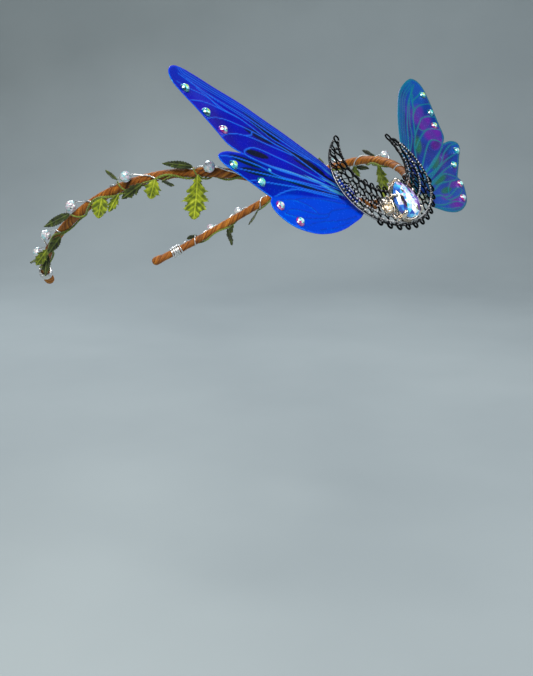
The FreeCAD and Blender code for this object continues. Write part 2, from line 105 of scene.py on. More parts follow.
def bark_paper():
    """Kraft paper twisted round a wire: long fibres that follow the twist, with painted shade that darkens the
    grooves.
    """
    material, tree, shader = finish("bark_kraft_paper", Roughness=0.62, Specular_IOR_Level=0.35)
    twist = node(tree, "Attribute", attribute_name="wrap").outputs["Vector"]
    # The relief value darkens the paper in the grooves: painted shade.
    crease = node(tree, "Attribute", attribute_name="crease").outputs["Fac"]
    fibre = node(tree, "TexNoise", {"Vector": twist, "Scale": 7.0, "Detail": 6.0,
                                    "Roughness": 0.65}).outputs[0]
    patch = node(tree, "TexNoise", {"Vector": twist, "Scale": 1.6, "Detail": 3.0}).outputs[0]
    lift = node(tree, "Math", {0: fibre, 1: crease}, operation="ADD").outputs[0]
    tone = node(tree, "Math", {0: lift, 1: patch}, operation="ADD").outputs[0]
    shade = node(tree, "MapRange", {"Value": tone, "From Min": 0.75, "From Max": 2.0}).outputs[0]
    stops = [(0.0, "#1E0E04"), (0.22, "#54290A"), (0.46, "#96540F"), (0.7, "#C47C22"), (1.0, "#EAB460")]
    paint = node(tree, "ValToRGB", {"Fac": shade}, stops=stops)
    tree.links.new(paint.outputs[0], shader.inputs["Base Color"])
    relief = node(tree, "Bump", {"Height": lift, "Strength": 0.7, "Distance": 0.25 * MM})
    tree.links.new(relief.outputs[0], shader.inputs["Normal"])
    return material


def metal(name, dark, light, rough, worn, spot=0.6):
    """A plated metal: 'mark' blends towards the light colour, a painted highlight on the lace's granules and edge
    tube; fine noise dulls it unevenly.
    """
    material, tree, shader = finish(name, Metallic=1.0)
    place = node(tree, "TexCoord").outputs["Object"]
    mark = node(tree, "Attribute", attribute_name="mark").outputs["Fac"]
    grime = node(tree, "TexNoise", {"Vector": place, "Scale": per_mm(spot), "Detail": 5.0}).outputs[0]
    mixed = node(tree, "Mix", {0: mark, 6: colour(dark), 7: colour(light)}, data_type="RGBA").outputs[2]
    stain = node(tree, "MapRange", {"Value": grime, "From Min": 0.35, "From Max": 0.7, "To Min": worn,
                                    "To Max": 1.0})
    shade = node(tree, "Mix", {0: 1.0, 6: mixed, 7: stain.outputs[0]}, data_type="RGBA",
                 blend_type="MULTIPLY")
    tree.links.new(shade.outputs[2], shader.inputs["Base Color"])
    dull = node(tree, "MapRange", {"Value": grime, "To Min": rough * 1.5, "To Max": rough * 0.6})
    tree.links.new(dull.outputs[0], shader.inputs["Roughness"])
    relief = node(tree, "Bump", {"Height": grime, "Strength": 0.12, "Distance": 0.05 * MM})
    tree.links.new(relief.outputs[0], shader.inputs["Normal"])
    return material


def crystal(name, stops, rough=0.04, film=380.0, clear=0.0):
    """Cut crystal with a rainbow vapour coating: each facet gets its own colour, the coating's tint with painted
    glints and painted dark reflections among them.
    """
    material, tree, shader = finish(
        name, Roughness=rough, IOR=1.56, Coat_Weight=1.0, Coat_Roughness=0.02, Coat_IOR=1.6,
        Thin_Film_Thickness=film, Thin_Film_IOR=1.9, Transmission_Weight=clear, Specular_IOR_Level=0.8)
    facet = node(tree, "Attribute", attribute_name="mark").outputs["Fac"]
    place = node(tree, "TexCoord").outputs["Object"]
    drift = node(tree, "TexNoise", {"Vector": place, "Scale": per_mm(2.2), "Detail": 1.0}).outputs[0]
    slide = node(tree, "MapRange", {"Value": drift, "To Min": -0.12, "To Max": 0.12}).outputs[0]
    pick = node(tree, "Math", {0: facet, 1: slide}, operation="ADD").outputs[0]
    paint = node(tree, "ValToRGB", {"Fac": pick}, stops=stops)
    tree.links.new(paint.outputs[0], shader.inputs["Base Color"])
    return material


def wing_film(name, cell, deep, lobe, rib, lobe_rib, rim):
    """Printed iridescent film: colour under a clear glossy skin, with raised printed veins and painted cyan sheen
    streaks.
    """
    material, tree, shader = finish(
        name, IOR=1.45, Coat_Weight=0.14, Coat_Roughness=0.1,
        Thin_Film_Thickness=420.0, Thin_Film_IOR=1.6, Specular_IOR_Level=0.12)
    place = node(tree, "TexCoord").outputs["Object"]
    share = {key: node(tree, "Attribute", attribute_name=key).outputs["Fac"]
             for key in ("vein", "ink", "painted_sheen", "lobe", "violet", "green", "rim", "tip")}
    cloud = node(tree, "TexNoise", {"Vector": place, "Scale": per_mm(14.0), "Detail": 3.0}).outputs[0]
    base = node(tree, "ValToRGB", {"Fac": cloud}, stops=[(0.3, deep), (0.68, cell)]).outputs[0]
    # The cyan #58CCF4 layer is painted sheen along the forewing's bend line and at the root.
    layers = [("lobe", lobe), ("tip", lobe), ("green", "#0A6A46"), ("violet", "#64189C"), ("painted_sheen", "#58CCF4"),
              ("ink", "#020410")]
    for key, paint in layers:
        base = node(tree, "Mix", {0: share[key], 6: base, 7: colour(paint)}, data_type="RGBA").outputs[2]
    line = node(tree, "Mix", {0: share["lobe"], 6: colour(rib), 7: colour(lobe_rib)},
                data_type="RGBA").outputs[2]
    base = node(tree, "Mix", {0: share["vein"], 6: base, 7: line}, data_type="RGBA").outputs[2]
    base = node(tree, "Mix", {0: share["rim"], 6: base, 7: colour(rim)}, data_type="RGBA").outputs[2]
    tree.links.new(base, shader.inputs["Base Color"])
    grain = node(tree, "TexNoise", {"Vector": place, "Scale": per_mm(0.9), "Detail": 4.0}).outputs[0]
    dull = node(tree, "MapRange", {"Value": grain, "To Min": 0.16, "To Max": 0.34})
    tree.links.new(dull.outputs[0], shader.inputs["Roughness"])
    height = node(tree, "Math", {0: share["vein"], 1: grain}, operation="ADD").outputs[0]
    relief = node(tree, "Bump", {"Height": height, "Strength": 0.35, "Distance": 0.1 * MM})
    tree.links.new(relief.outputs[0], shader.inputs["Normal"])
    return material


def leaf_cloth(name, shade, body, bright, other_shade, other_body, other_bright):
    """Dyed woven cotton, stiffened and embossed: threads 0.5 mm apart so that the weave shows; the raised ribs
    are painted lighter as a highlight.
    """
    material, tree, shader = finish(name, Roughness=0.82, Sheen_Weight=0.35, Sheen_Roughness=0.5,
                                    Specular_IOR_Level=0.25)
    place = node(tree, "Attribute", attribute_name="weave").outputs["Vector"]
    # The relief value read here lightens the raised ribs: a painted highlight.
    rib = node(tree, "Attribute", attribute_name="crease").outputs["Fac"]
    warp = node(tree, "TexWave", {"Vector": place, "Scale": per_mm(0.5) / 20, "Distortion": 1.5},
                bands_direction="X").outputs["Fac"]
    weft = node(tree, "TexWave", {"Vector": place, "Scale": per_mm(0.5) / 20, "Distortion": 1.5},
                bands_direction="Y").outputs["Fac"]
    weave = node(tree, "Math", {0: warp, 1: weft}, operation="MULTIPLY").outputs[0]
    blotch = node(tree, "TexNoise", {"Vector": place, "Scale": per_mm(3.0), "Detail": 4.0}).outputs[0]
    sum_a = node(tree, "Math", {0: blotch, 1: rib}, operation="ADD").outputs[0]
    tone = node(tree, "Math", {0: weave, 1: 0.25, 2: sum_a}, operation="MULTIPLY_ADD")
    dye = node(tree, "Attribute", attribute_name="mark").outputs["Fac"]
    own = node(tree, "ValToRGB", {"Fac": tone.outputs[0]}, stops=[(0.25, shade), (0.62, body), (1.0, bright)])
    other = node(tree, "ValToRGB", {"Fac": tone.outputs[0]},
                 stops=[(0.25, other_shade), (0.62, other_body), (1.0, other_bright)])
    paint = node(tree, "Mix", {0: dye, 6: own.outputs[0], 7: other.outputs[0]}, data_type="RGBA")
    tree.links.new(paint.outputs[2], shader.inputs["Base Color"])
    relief = node(tree, "Bump", {"Height": tone.outputs[0], "Strength": 0.6, "Distance": 0.2 * MM})
    tree.links.new(relief.outputs[0], shader.inputs["Normal"])
    return material


def green_cord():
    """Two-ply dyed cotton cord, fuzzy and matt."""
    material, tree, shader = finish("stem_cotton_cord", Roughness=0.85, Sheen_Weight=0.4)
    place = node(tree, "TexCoord").outputs["Object"]
    fuzz = node(tree, "TexNoise", {"Vector": place, "Scale": per_mm(0.5), "Detail": 5.0}).outputs[0]
    stops = [(0.3, "#2E3A0A"), (0.5, "#6C8018"), (0.75, "#A8B838")]
    paint = node(tree, "ValToRGB", {"Fac": fuzz}, stops=stops)
    tree.links.new(paint.outputs[0], shader.inputs["Base Color"])
    relief = node(tree, "Bump", {"Height": fuzz, "Strength": 0.6, "Distance": 0.15 * MM})
    tree.links.new(relief.outputs[0], shader.inputs["Normal"])
    return material


def clear_glue():
    """Set jewellery glue: milky, smooth and slightly yellow at the thick spots."""
    material, tree, shader = finish("glue_clear_epoxy", Roughness=0.18, IOR=1.5, Subsurface_Weight=0.4)
    place = node(tree, "TexCoord").outputs["Object"]
    haze = node(tree, "TexNoise", {"Vector": place, "Scale": per_mm(1.2), "Detail": 3.0}).outputs[0]
    paint = node(tree, "ValToRGB", {"Fac": haze}, stops=[(0.3, "#B9B4A2"), (0.7, "#E6E2D4")])
    tree.links.new(paint.outputs[0], shader.inputs["Base Color"])
    return material


def floor_paint():
    """Matt pale studio floor with a faint mottling."""
    material, tree, shader = finish("studio_floor", Roughness=0.9)
    place = node(tree, "TexCoord").outputs["Object"]
    mottle = node(tree, "TexNoise", {"Vector": place, "Scale": 3.0, "Detail": 4.0}).outputs[0]
    paint = node(tree, "ValToRGB", {"Fac": mottle}, stops=[(0.3, "#98A2A5"), (0.7, "#A4AEB0")])
    tree.links.new(paint.outputs[0], shader.inputs["Base Color"])
    return material


# Facet colour stops: near-white stops serve as painted glints and the darkest as painted dark reflections, the
# rest is the coatings' tint.
RAINBOW = [(0.0, "#06323E"), (0.14, "#18B8D0"), (0.3, "#D8FFF6"), (0.46, "#2FD8C8"), (0.6, "#C6F04A"),
           (0.72, "#F4F8FF"), (0.84, "#C22A9A"), (1.0, "#12103C")]
VITRAIL = [(0.0, "#1A2C9E"), (0.14, "#2F7FE8"), (0.26, "#5FE0F2"), (0.38, "#F4F6FF"), (0.52, "#C9B4F2"),
           (0.66, "#8A5FD0"), (0.78, "#5A2A96"), (0.87, "#07050E"), (0.94, "#DCD8B0"), (1.0, "#F2E6F8")]
CLEAR_AB = [(0.0, "#A8B8C2"), (0.2, "#F2FBFF"), (0.36, "#8FE4F4"), (0.52, "#FFFFFF"), (0.66, "#F2B8E0"),
            (0.8, "#E8F0FA"), (0.92, "#5A6472"), (1.0, "#FFFFFF")]
CHAMPAGNE = [(0.0, "#5A4020"), (0.25, "#E8D0A0"), (0.5, "#FFF6E4"), (0.75, "#C49A5C"), (1.0, "#FFFFFF")]
FINISHES = {
    "bark_paper": bark_paper(),
    "core_wire": metal("core_bright_steel", "#8A8C90", "#C8CACC", 0.3, 0.6),
    # The near-white light colour is painted highlight on the lace's granules and edge tube.
    "gunmetal": metal("lace_gunmetal_plate", "#0A0B0C", "#F2F2F4", 0.3, 0.6),
    "setting_metal": metal("setting_champagne_plate", "#C2A98E", "#FFF4E4", 0.14, 0.75),
    "silver_wire": metal("wire_silver_plate", "#F0F0EE", "#FFFFFF", 0.3, 0.85),
    "pear_crystal": crystal("pear_vitrail_crystal", VITRAIL),
    "champagne_crystal": crystal("side_champagne_crystal", CHAMPAGNE),
    "stone_crystal": crystal("flatback_rainbow_crystal", RAINBOW),
    "bead_crystal": crystal("bead_clear_rainbow_crystal", CLEAR_AB, clear=0.2),
    "glue": clear_glue(),
    "leaf_stem": green_cord(),
    "film_blue": wing_film("wing_royal_blue_film", "#0000B4", "#00008C", "#0040DC", "#1C6CEC", "#0414A8",
                           "#1040F0"),
    "film_teal": wing_film("wing_teal_film", "#0444A8", "#04287C", "#0658B0", "#007C88", "#007C88",
                           "#007A8A"),
    "leaf_green": leaf_cloth("leaf_lime_cotton", "#4A5A08", "#9AAA1A", "#D2D650", "#141C06", "#384812",
                             "#6C7C24"),
    "leaf_dark": leaf_cloth("leaf_olive_cotton", "#141C06", "#3A4A12", "#7C8A28", "#4A5A08", "#93A318",
                            "#C8CE48"),
}


# --------------------------------------------------------------- mesh building
class Piece:
    """Collects the faces of one piece in millimetres; mark is a number kept on each face."""

    def __init__(self):
        self.points = []
        self.faces = []
        self.marks = []

    def add(self, points, faces, mark=0.0):
        first = len(self.points)
        self.points.extend(points)
        self.faces.extend([tuple(first + i for i in face) for face in faces])
        self.marks.extend([mark] * len(faces))

    def tube(self, path, radius, sides=8, closed=False, mark=0.0, flat=1.0):
        """A rod along a path; radius is a number or a function of the share along it."""
        count = len(path)
        points = []
        for i, (centre, side, top) in enumerate(carried_frames(path, closed)):
            share = i / max(1, count - 1)
            reach = radius(share) if callable(radius) else radius
            for k in range(sides):
                swing = math.tau * k / sides
                points.append(centre + side * (reach * math.cos(swing)) + top * (reach * flat * math.sin(swing)))
        faces = []
        for i in range(count if closed else count - 1):
            j = (i + 1) % count
            for k in range(sides):
                m = (k + 1) % sides
                faces.append((i * sides + k, i * sides + m, j * sides + m, j * sides + k))
        if not closed:
            faces.append(tuple(reversed(range(sides))))
            faces.append(tuple(range((count - 1) * sides, count * sides)))
        self.add(points, faces, mark)

    def ball(self, centre, radius, mark=0.0, rings=5, sides=8):
        """A small solid granule."""
        points = [centre + UP * radius]
        for i in range(1, rings):
            tilt = math.pi * i / rings
            for k in range(sides):
                swing = math.tau * k / sides
                points.append(centre + Vector((math.sin(tilt) * math.cos(swing),
                                               math.sin(tilt) * math.sin(swing), math.cos(tilt))) * radius)
        points.append(centre - UP * radius)
        last = len(points) - 1
        faces = [(0, 1 + k, 1 + (k + 1) % sides) for k in range(sides)]
        for i in range(rings - 2):
            for k in range(sides):
                m = (k + 1) % sides
                a, b = 1 + i * sides, 1 + (i + 1) * sides
                faces.append((a + k, b + k, b + m, a + m))
        faces += [(last, last - 1 - k, last - 1 - (k + 1) % sides) for k in range(sides)]
        self.add(points, faces, mark)

    def build(self, name, slot, smooth=True, values=None):
        """The finished object in metres, with its material and its extra point values."""
        mesh = bpy.data.meshes.new(name)
        mesh.from_pydata([tuple(p * MM for p in point) for point in self.points], [], self.faces)
        marks = mesh.attributes.new("mark", "FLOAT", "FACE")
        marks.data.foreach_set("value", self.marks)
        for key, data in (values or {}).items():
            if len(data) and hasattr(data[0], "__len__"):
                extra = mesh.attributes.new(key, "FLOAT_VECTOR", "POINT")
                extra.data.foreach_set("vector", [float(x) for item in data for x in item])
            else:
                extra = mesh.attributes.new(key, "FLOAT", "POINT")
                extra.data.foreach_set("value", [float(x) for x in data])
        mesh.polygons.foreach_set("use_smooth", [smooth] * len(mesh.polygons))
        mesh.materials.append(FINISHES[slot])
        mesh.validate()
        item = bpy.data.objects.new(name, mesh)
        bpy.context.scene.collection.objects.link(item)
        return item


def carried_frames(path, closed=False):
    """Centre, side and top directions carried along a path with no twist."""
    count = len(path)
    result = []
    side = None
    for i, centre in enumerate(path):
        before = path[i - 1] if i or closed else path[0]
        after = path[(i + 1) % count] if i < count - 1 or closed else path[-1]
        along = (after - before).normalized()
        if side is None:
            guess = UP if abs(along.z) < 0.9 else Vector((1, 0, 0))
            side = along.cross(guess).normalized()
        side = (side - along * side.dot(along)).normalized()
        result.append((centre, side, along.cross(side)))
    return result


def smooth_path(points, step, closed=False):
    """Evenly stepped points on a smooth curve through the given ones."""
    count = len(points)
    curve = []
    for i in range(count if closed else count - 1):
        if closed:
            a, b, c, d = (points[(i + k) % count] for k in (-1, 0, 1, 2))
        else:
            a, b, c, d = (points[min(max(i + k, 0), count - 1)] for k in (-1, 0, 1, 2))
        parts = max(2, round((c - b).length / step))
        for k in range(parts):
            t = k / parts
            curve.append(0.5 * (b * 2 + (c - a) * t + (a * 2 - b * 5 + c * 4 - d) * t ** 2
                                + (b * 3 - a - c * 3 + d) * t ** 3))
    if not closed:
        curve.append(points[-1])
    return curve


def rope(piece, path, offset, strand, pitch, strands=2, closed=False, mark=0.0, sides=6):
    """Twisted strands that follow a path."""
    frames = carried_frames(path, closed)
    for number in range(strands):
        travelled = 0.0
        line = []
        for i, (centre, side, top) in enumerate(frames):
            if i:
                travelled += (centre - frames[i - 1][0]).length
            swing = math.tau * (travelled / pitch + number / strands)
            line.append(centre + side * (offset * math.cos(swing)) + top * (offset * math.sin(swing)))
        piece.tube(line, strand, sides, closed, mark)


def eased(share):
    """0 to 1 with soft ends."""
    share = min(1.0, max(0.0, share))
    return share * share * (3 - 2 * share)


# ------------------------------------------------------------ headband geometry
def band_point(angle, side=1):
    """Centre line of the headband, angle in degrees from the front."""
    along = math.cos(math.radians(angle))
    across = math.sin(math.radians(angle))
    return Vector((side * 82.0 * across, -96.5 * along, 40.3 * along - 33.0 * along ** 2 - 13.2 * along ** 3))


def band_frame(angle, side=1):
    """Directions along the band towards its end, outward and upward."""
    along = (band_point(angle + 0.5, side) - band_point(angle - 0.5, side)).normalized()
    outward = (along.cross(UP) * side).normalized()
    upward = (outward.cross(along) * side).normalized()
    return along, outward, upward


def around_band(angle, side, radius, turn):
    """A point beside the vine: turn 0 is outward and 90 is up."""
    outward, upward = band_frame(angle, side)[1:]
    swing = math.radians(turn)
    return band_point(angle, side) + outward * (radius * math.cos(swing)) + upward * (radius * math.sin(swing))


SPLIT_ANGLE = 17.0
END_ANGLE = 149.0
VINE_RADIUS = 1.95
TIP_RADIUS = 2.45
TWIST_PITCH = 15.0


def build_vine(name, side):
    """Half of the bark-paper vine, from the middle of the front to its folded tip."""
    sides = 36
    step = 0.4
    stations = [(band_point(0, side), band_frame(0, side), 1.0)]
    angle = 0.0
    while angle < END_ANGLE:
        angle = min(END_ANGLE, angle + step)
        stations.append((band_point(angle, side), band_frame(angle, side), 1.0))
    tip, directions = stations[-1][:2]
    for share in (0.3, 0.55, 0.75, 0.9, 0.98):
        stations.append((tip + directions[0] * (TIP_RADIUS * share), directions,
                         math.sqrt(1 - share * share)))
    length = 0.0
    points, wraps, creases = [], [], []
    total = sum((b[0] - a[0]).length for a, b in zip(stations, stations[1:]))
    for i, (centre, (_, outward, upward), shrink) in enumerate(stations):
        if i:
            length += (centre - stations[i - 1][0]).length
        place = side * length
        swell = eased((length - total + 7.5) / 4.0) * (TIP_RADIUS - VINE_RADIUS)
        girth = 1.0 + 0.07 * noise.noise(Vector((place * 0.11, 3.0, 0)))
        for k in range(sides):
            swing = math.tau * k / sides
            turned = swing - math.tau * place / TWIST_PITCH
            wave = 1.0 - abs(math.sin(2.5 * turned + 0.8 * math.sin(place * 0.21)))
            fold = 1.0 - abs(math.sin(4.0 * turned + 1.3 * math.sin(place * 0.13)))
            spot = Vector((math.cos(turned) * 1.7, math.sin(turned) * 1.7, place * 0.16))
            rough = noise.noise(spot) + 0.5 * noise.noise(spot * 2.7)
            crease = 0.22 * wave ** 2 + 0.1 * fold ** 2 - 0.16 * rough
            reach = ((VINE_RADIUS + swell) * girth + 0.12 - crease) * shrink
            points.append(centre + outward * (reach * math.cos(swing)) + upward * (reach * math.sin(swing)))
            wraps.append((math.cos(turned) * 1.2, math.sin(turned) * 1.2, place * 0.035))
            # Painted shade: the deeper the groove, the lower the value and the darker the paper.
            creases.append(0.45 - 1.5 * crease)
    faces = []
    for i in range(len(stations) - 1):
        for k in range(sides):
            m = (k + 1) % sides
            quad = (i * sides + k, i * sides + m, (i + 1) * sides + m, (i + 1) * sides + k)
            faces.append(quad if side < 0 else quad[::-1])
    cap = tuple(range((len(stations) - 1) * sides, len(stations) * sides))
    start = tuple(range(sides))
    faces += [cap if side < 0 else cap[::-1], start[::-1] if side < 0 else start]
    piece = Piece()
    piece.add(points, faces)
    vine = piece.build("vine_bark_" + name, "bark_paper", values={"wrap": wraps, "crease": creases})
    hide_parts("vine_%s_wrap" % name)
    if side < 0:
        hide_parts("vine_front_wrap")
    band_point(SPLIT_ANGLE - 2, side) * MM
    band_point(SPLIT_ANGLE + 2, side) * MM
    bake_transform(vine)


# ----------------------------------------------------- wire, beads and the cord
BEADS = [(59.6, 31.0), (81.8, 37.0), (102.0, 46.0), (117.5, 32.0), (127.5, 23.0)]
WIRE_TURNS = [3, 1, 1, 1, 0, 1]
BEAD_OFFSET = 4.9
BEAD_RADIUS = 2.6
COIL_RADIUS = 2.42
MM_PER_DEGREE = 1.5


def build_bead_wire(name, side):
    """Silver wire: slow coils round the vine that rise to pass straight through each bead."""
    stations = [(21.0, 200.0)] + BEADS + [(137.9, 100.0)]
    line = []
    for index, turns in enumerate(WIRE_TURNS):
        (first, turn_a), (last, turn_b) = stations[index], stations[index + 1]
        sweep = turn_b - turn_a + 360.0 * turns
        low = first + (4.0 if index else 0.5)
        high = last - (4.0 if index < len(BEADS) else 0.5)
        steps = max(12, round((last - first) * 2.2))
        for k in range(steps):
            angle = first + (last - first) * k / steps
            turn = turn_a + sweep * eased((angle - low) / (high - low))
            near = min(abs(angle - bead) for bead, _ in BEADS) * MM_PER_DEGREE
            lift = eased((7.0 - near) / 4.0)
            line.append(around_band(angle, side, COIL_RADIUS + (BEAD_OFFSET - COIL_RADIUS) * lift, turn))
    piece = Piece()
    piece.tube(smooth_path(line, 0.45), 0.3, 8)
    wire = piece.build("bead_wire_loops_" + name, "silver_wire")
    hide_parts("bead_wire_" + name)
    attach(wire, "arm_" + name)


def build_bead(name, number):
    """A faceted clear bead with its drilled bore, on its own spinning body."""
    body = "%s_bead_%d" % (name, number)
    joint = JOINTS[body + "_spin"]
    centre = Vector(joint["pos_m"]) / MM
    axis = Vector(joint["axis"]).normalized()
    across = axis.orthogonal().normalized()
    other = axis.cross(across)
    chance = random.Random("bead %s %d" % (name, number))
    count = 10
    bore = 0.42
    rows = [(-62, 0), (-38, 1), (-13, 0), (13, 1), (38, 0), (62, 1)]
    points = []
    for tilt, half in rows:
        tilt = math.radians(tilt)
        for k in range(count):
            swing = math.tau * (k + 0.5 * half) / count
            reach = BEAD_RADIUS * math.cos(tilt)
            points.append(centre + axis * (BEAD_RADIUS * math.sin(tilt))
                          + (across * math.cos(swing) + other * math.sin(swing)) * reach)
    for end, half in ((-1, 0), (1, 1)):
        for k in range(count):
            swing = math.tau * (k + 0.5 * half) / count
            points.append(centre + axis * (end * BEAD_RADIUS * 0.93)
                          + (across * math.cos(swing) + other * math.sin(swing)) * bore)
    piece = Piece()
    piece.points = points
    for row, (_, half) in enumerate(rows[:-1]):
        a, b = row * count, (row + 1) * count
        for k in range(count):
            m = (k + 1) % count
            trio = ((a + k, a + m, b + k), (a + m, b + m, b + k)) if half == 0 else \
                   ((a + k, b + m, b + k), (a + k, a + m, b + m))
            piece.faces += trio
    low, high = len(rows) * count, (len(rows) + 1) * count
    top = (len(rows) - 1) * count
    for k in range(count):
        m = (k + 1) % count
        piece.faces += [(low + k, low + m, m, k), (top + k, top + m, high + m, high + k),
                        (high + k, high + m, low + m, low + k)]
    piece.marks = [chance.random() for _ in piece.faces]
    bead = piece.build("bead_%s_%d" % (name, number), "bead_crystal", smooth=False)
    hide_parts(body)
    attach(bead, body)


def stem_turn(angle):
    """Side of the vine that the garland's cord is on at a band angle."""
    return -75.0 + 72.0 * math.sin(math.radians(16.4 * (angle - 44.0)))


def stem_line(side):
    """Where the garland's cord runs on the lower outer side of the vine."""
    first, last = 44.0, 136.0
    steps = 120
    line = []
    for k in range(steps + 1):
        angle = first + (last - first) * k / steps
        line.append(around_band(angle, side, VINE_RADIUS + 0.62, stem_turn(angle)))
    return line


def build_stem(name, side):
    """Green two-ply garland cord."""
    piece = Piece()
    rope(piece, smooth_path(stem_line(side), 0.4), 0.27, 0.3, 2.6, strands=2, sides=7)
    for leaf in (leaf for group in LEAVES.values() for leaf in group):
        angle, turn = leaf[1:3]
        start = angle - 3.2
        origin = stem_turn(start)
        stalk = []
        for k in range(9):
            share = k / 8
            stalk.append(around_band(start + 3.2 * share, side, VINE_RADIUS + 0.75 + 0.4 * share,
                                     origin + (turn - origin) * share))
        piece.tube(smooth_path(stalk, 0.5), lambda share: 0.42 - 0.12 * share, 7, mark=0.4)
    stem = piece.build("garland_cord_" + name, "leaf_stem")
    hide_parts("garland_stem_" + name)
    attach(stem, "arm_" + name)


def build_binding(name, side):
    """Silver wire wound in two loose layers near the tip of the vine."""
    piece = Piece()
    chance = random.Random("binding " + name)
    for radius, start, end, turns in ((2.35, 138.9, 143.0, 9), (2.75, 142.7, 139.2, 7),
                                      (3.05, 139.6, 142.3, 5)):
        line = []
        steps = turns * 18
        for k in range(steps + 1):
            share = k / steps
            wobble = 0.22 * math.sin(share * turns * 2.6 + chance.random() * 0.3)
            line.append(around_band(start + (end - start) * share + wobble, side, radius,
                                    360.0 * turns * share))
        piece.tube(line, 0.36, 7)
    binding = piece.build("end_binding_coils_" + name, "silver_wire")
    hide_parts("end_binding_" + name)
    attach(binding, "arm_" + name)


# --------------------------------------------------------------------- leaves
# kind, band angle, turn round the vine, length, width, (back, out, up) heading
LEAVES = {
    "leaf_oak": [("oak", 62.6, -18.0, 19.5, 12.6, (-0.02, 0.30, -0.95))],
    "leaf_round": [("round", 90.8, -25.0, 9.2, 8.4, (-0.05, 0.30, -0.95))],
    "leaves_front": [
        ("slender", 64.0, 40.0, 13.0, 3.8, (0.96, 0.10, 0.18)),
        ("lobed", 74.0, -22.0, 8.6, 8.8, (0.15, 0.35, -0.92)),
        ("slender", 72.5, -48.0, 7.5, 3.6, (-0.88, 0.35, -0.30)),
        ("slender", 85.5, 70.0, 6.5, 3.4, (0.60, 0.35, 0.70)),
    ],
    "leaves_middle": [
        ("lobed", 78.0, -30.0, 11.0, 5.6, (0.86, 0.30, -0.42)),
        ("lobed", 86.0, -52.0, 8.6, 5.2, (0.50, 0.36, -0.79)),
        ("slender", 103.4, 12.0, 15.0, 4.6, (0.93, 0.34, 0.02)),
        ("slender", 112.0, -58.0, 11.0, 4.2, (0.78, 0.38, -0.50)),
    ],
    "leaves_end": [
        ("lobed", 120.5, -40.0, 10.0, 6.5, (0.60, 0.52, -0.60)),
        ("lobed", 123.0, -62.0, 10.5, 5.6, (-0.25, 0.20, -0.95)),
        ("slender", 132.5, 36.0, 8.0, 3.8, (0.85, 0.50, 0.10)),
    ],
}
LOBES = {"oak": (4.5, 0.5, 1.15), "lobed": (3.5, 0.42, 0.95), "round": (0.0, 0.0, 0.8),
         "slender": (0.0, 0.0, 0.85)}
# leaves dyed in their neighbours' green
OTHER_DYE = {"leaves_front2": 0.95, "leaves_middle1": 0.9, "leaves_middle3": 1.0, "leaves_middle4": 0.9,
             "leaves_end1": 0.6}
LEAF_SLOTS = {"leaf_oak": "leaf_green", "leaf_round": "leaf_green", "leaves_front": "leaf_dark",
              "leaves_middle": "leaf_green", "leaves_end": "leaf_dark"}


def leaf_half_width(kind, length, width, share, wobble):
    """Half the leaf's width at a share of its length, with lobes and a frayed edge."""
    lobes, depth, bulge = LOBES[kind]
    if not 0 < share < 1:
        return 0.3
    half = 0.5 * width * math.sin(math.pi * share ** bulge) ** 0.7
    if lobes:
        saw = (share * lobes + 0.35) % 1.0
        half *= 1.0 - depth * (1.0 - saw ** 0.8 if saw < 0.72 else (saw - 0.72) / 0.28)
    half *= 1.0 + 0.09 * math.sin(share * length * 5.1 + wobble) + 0.06 * math.sin(share * length * 11.7 + wobble)
    return max(half, 0.3)


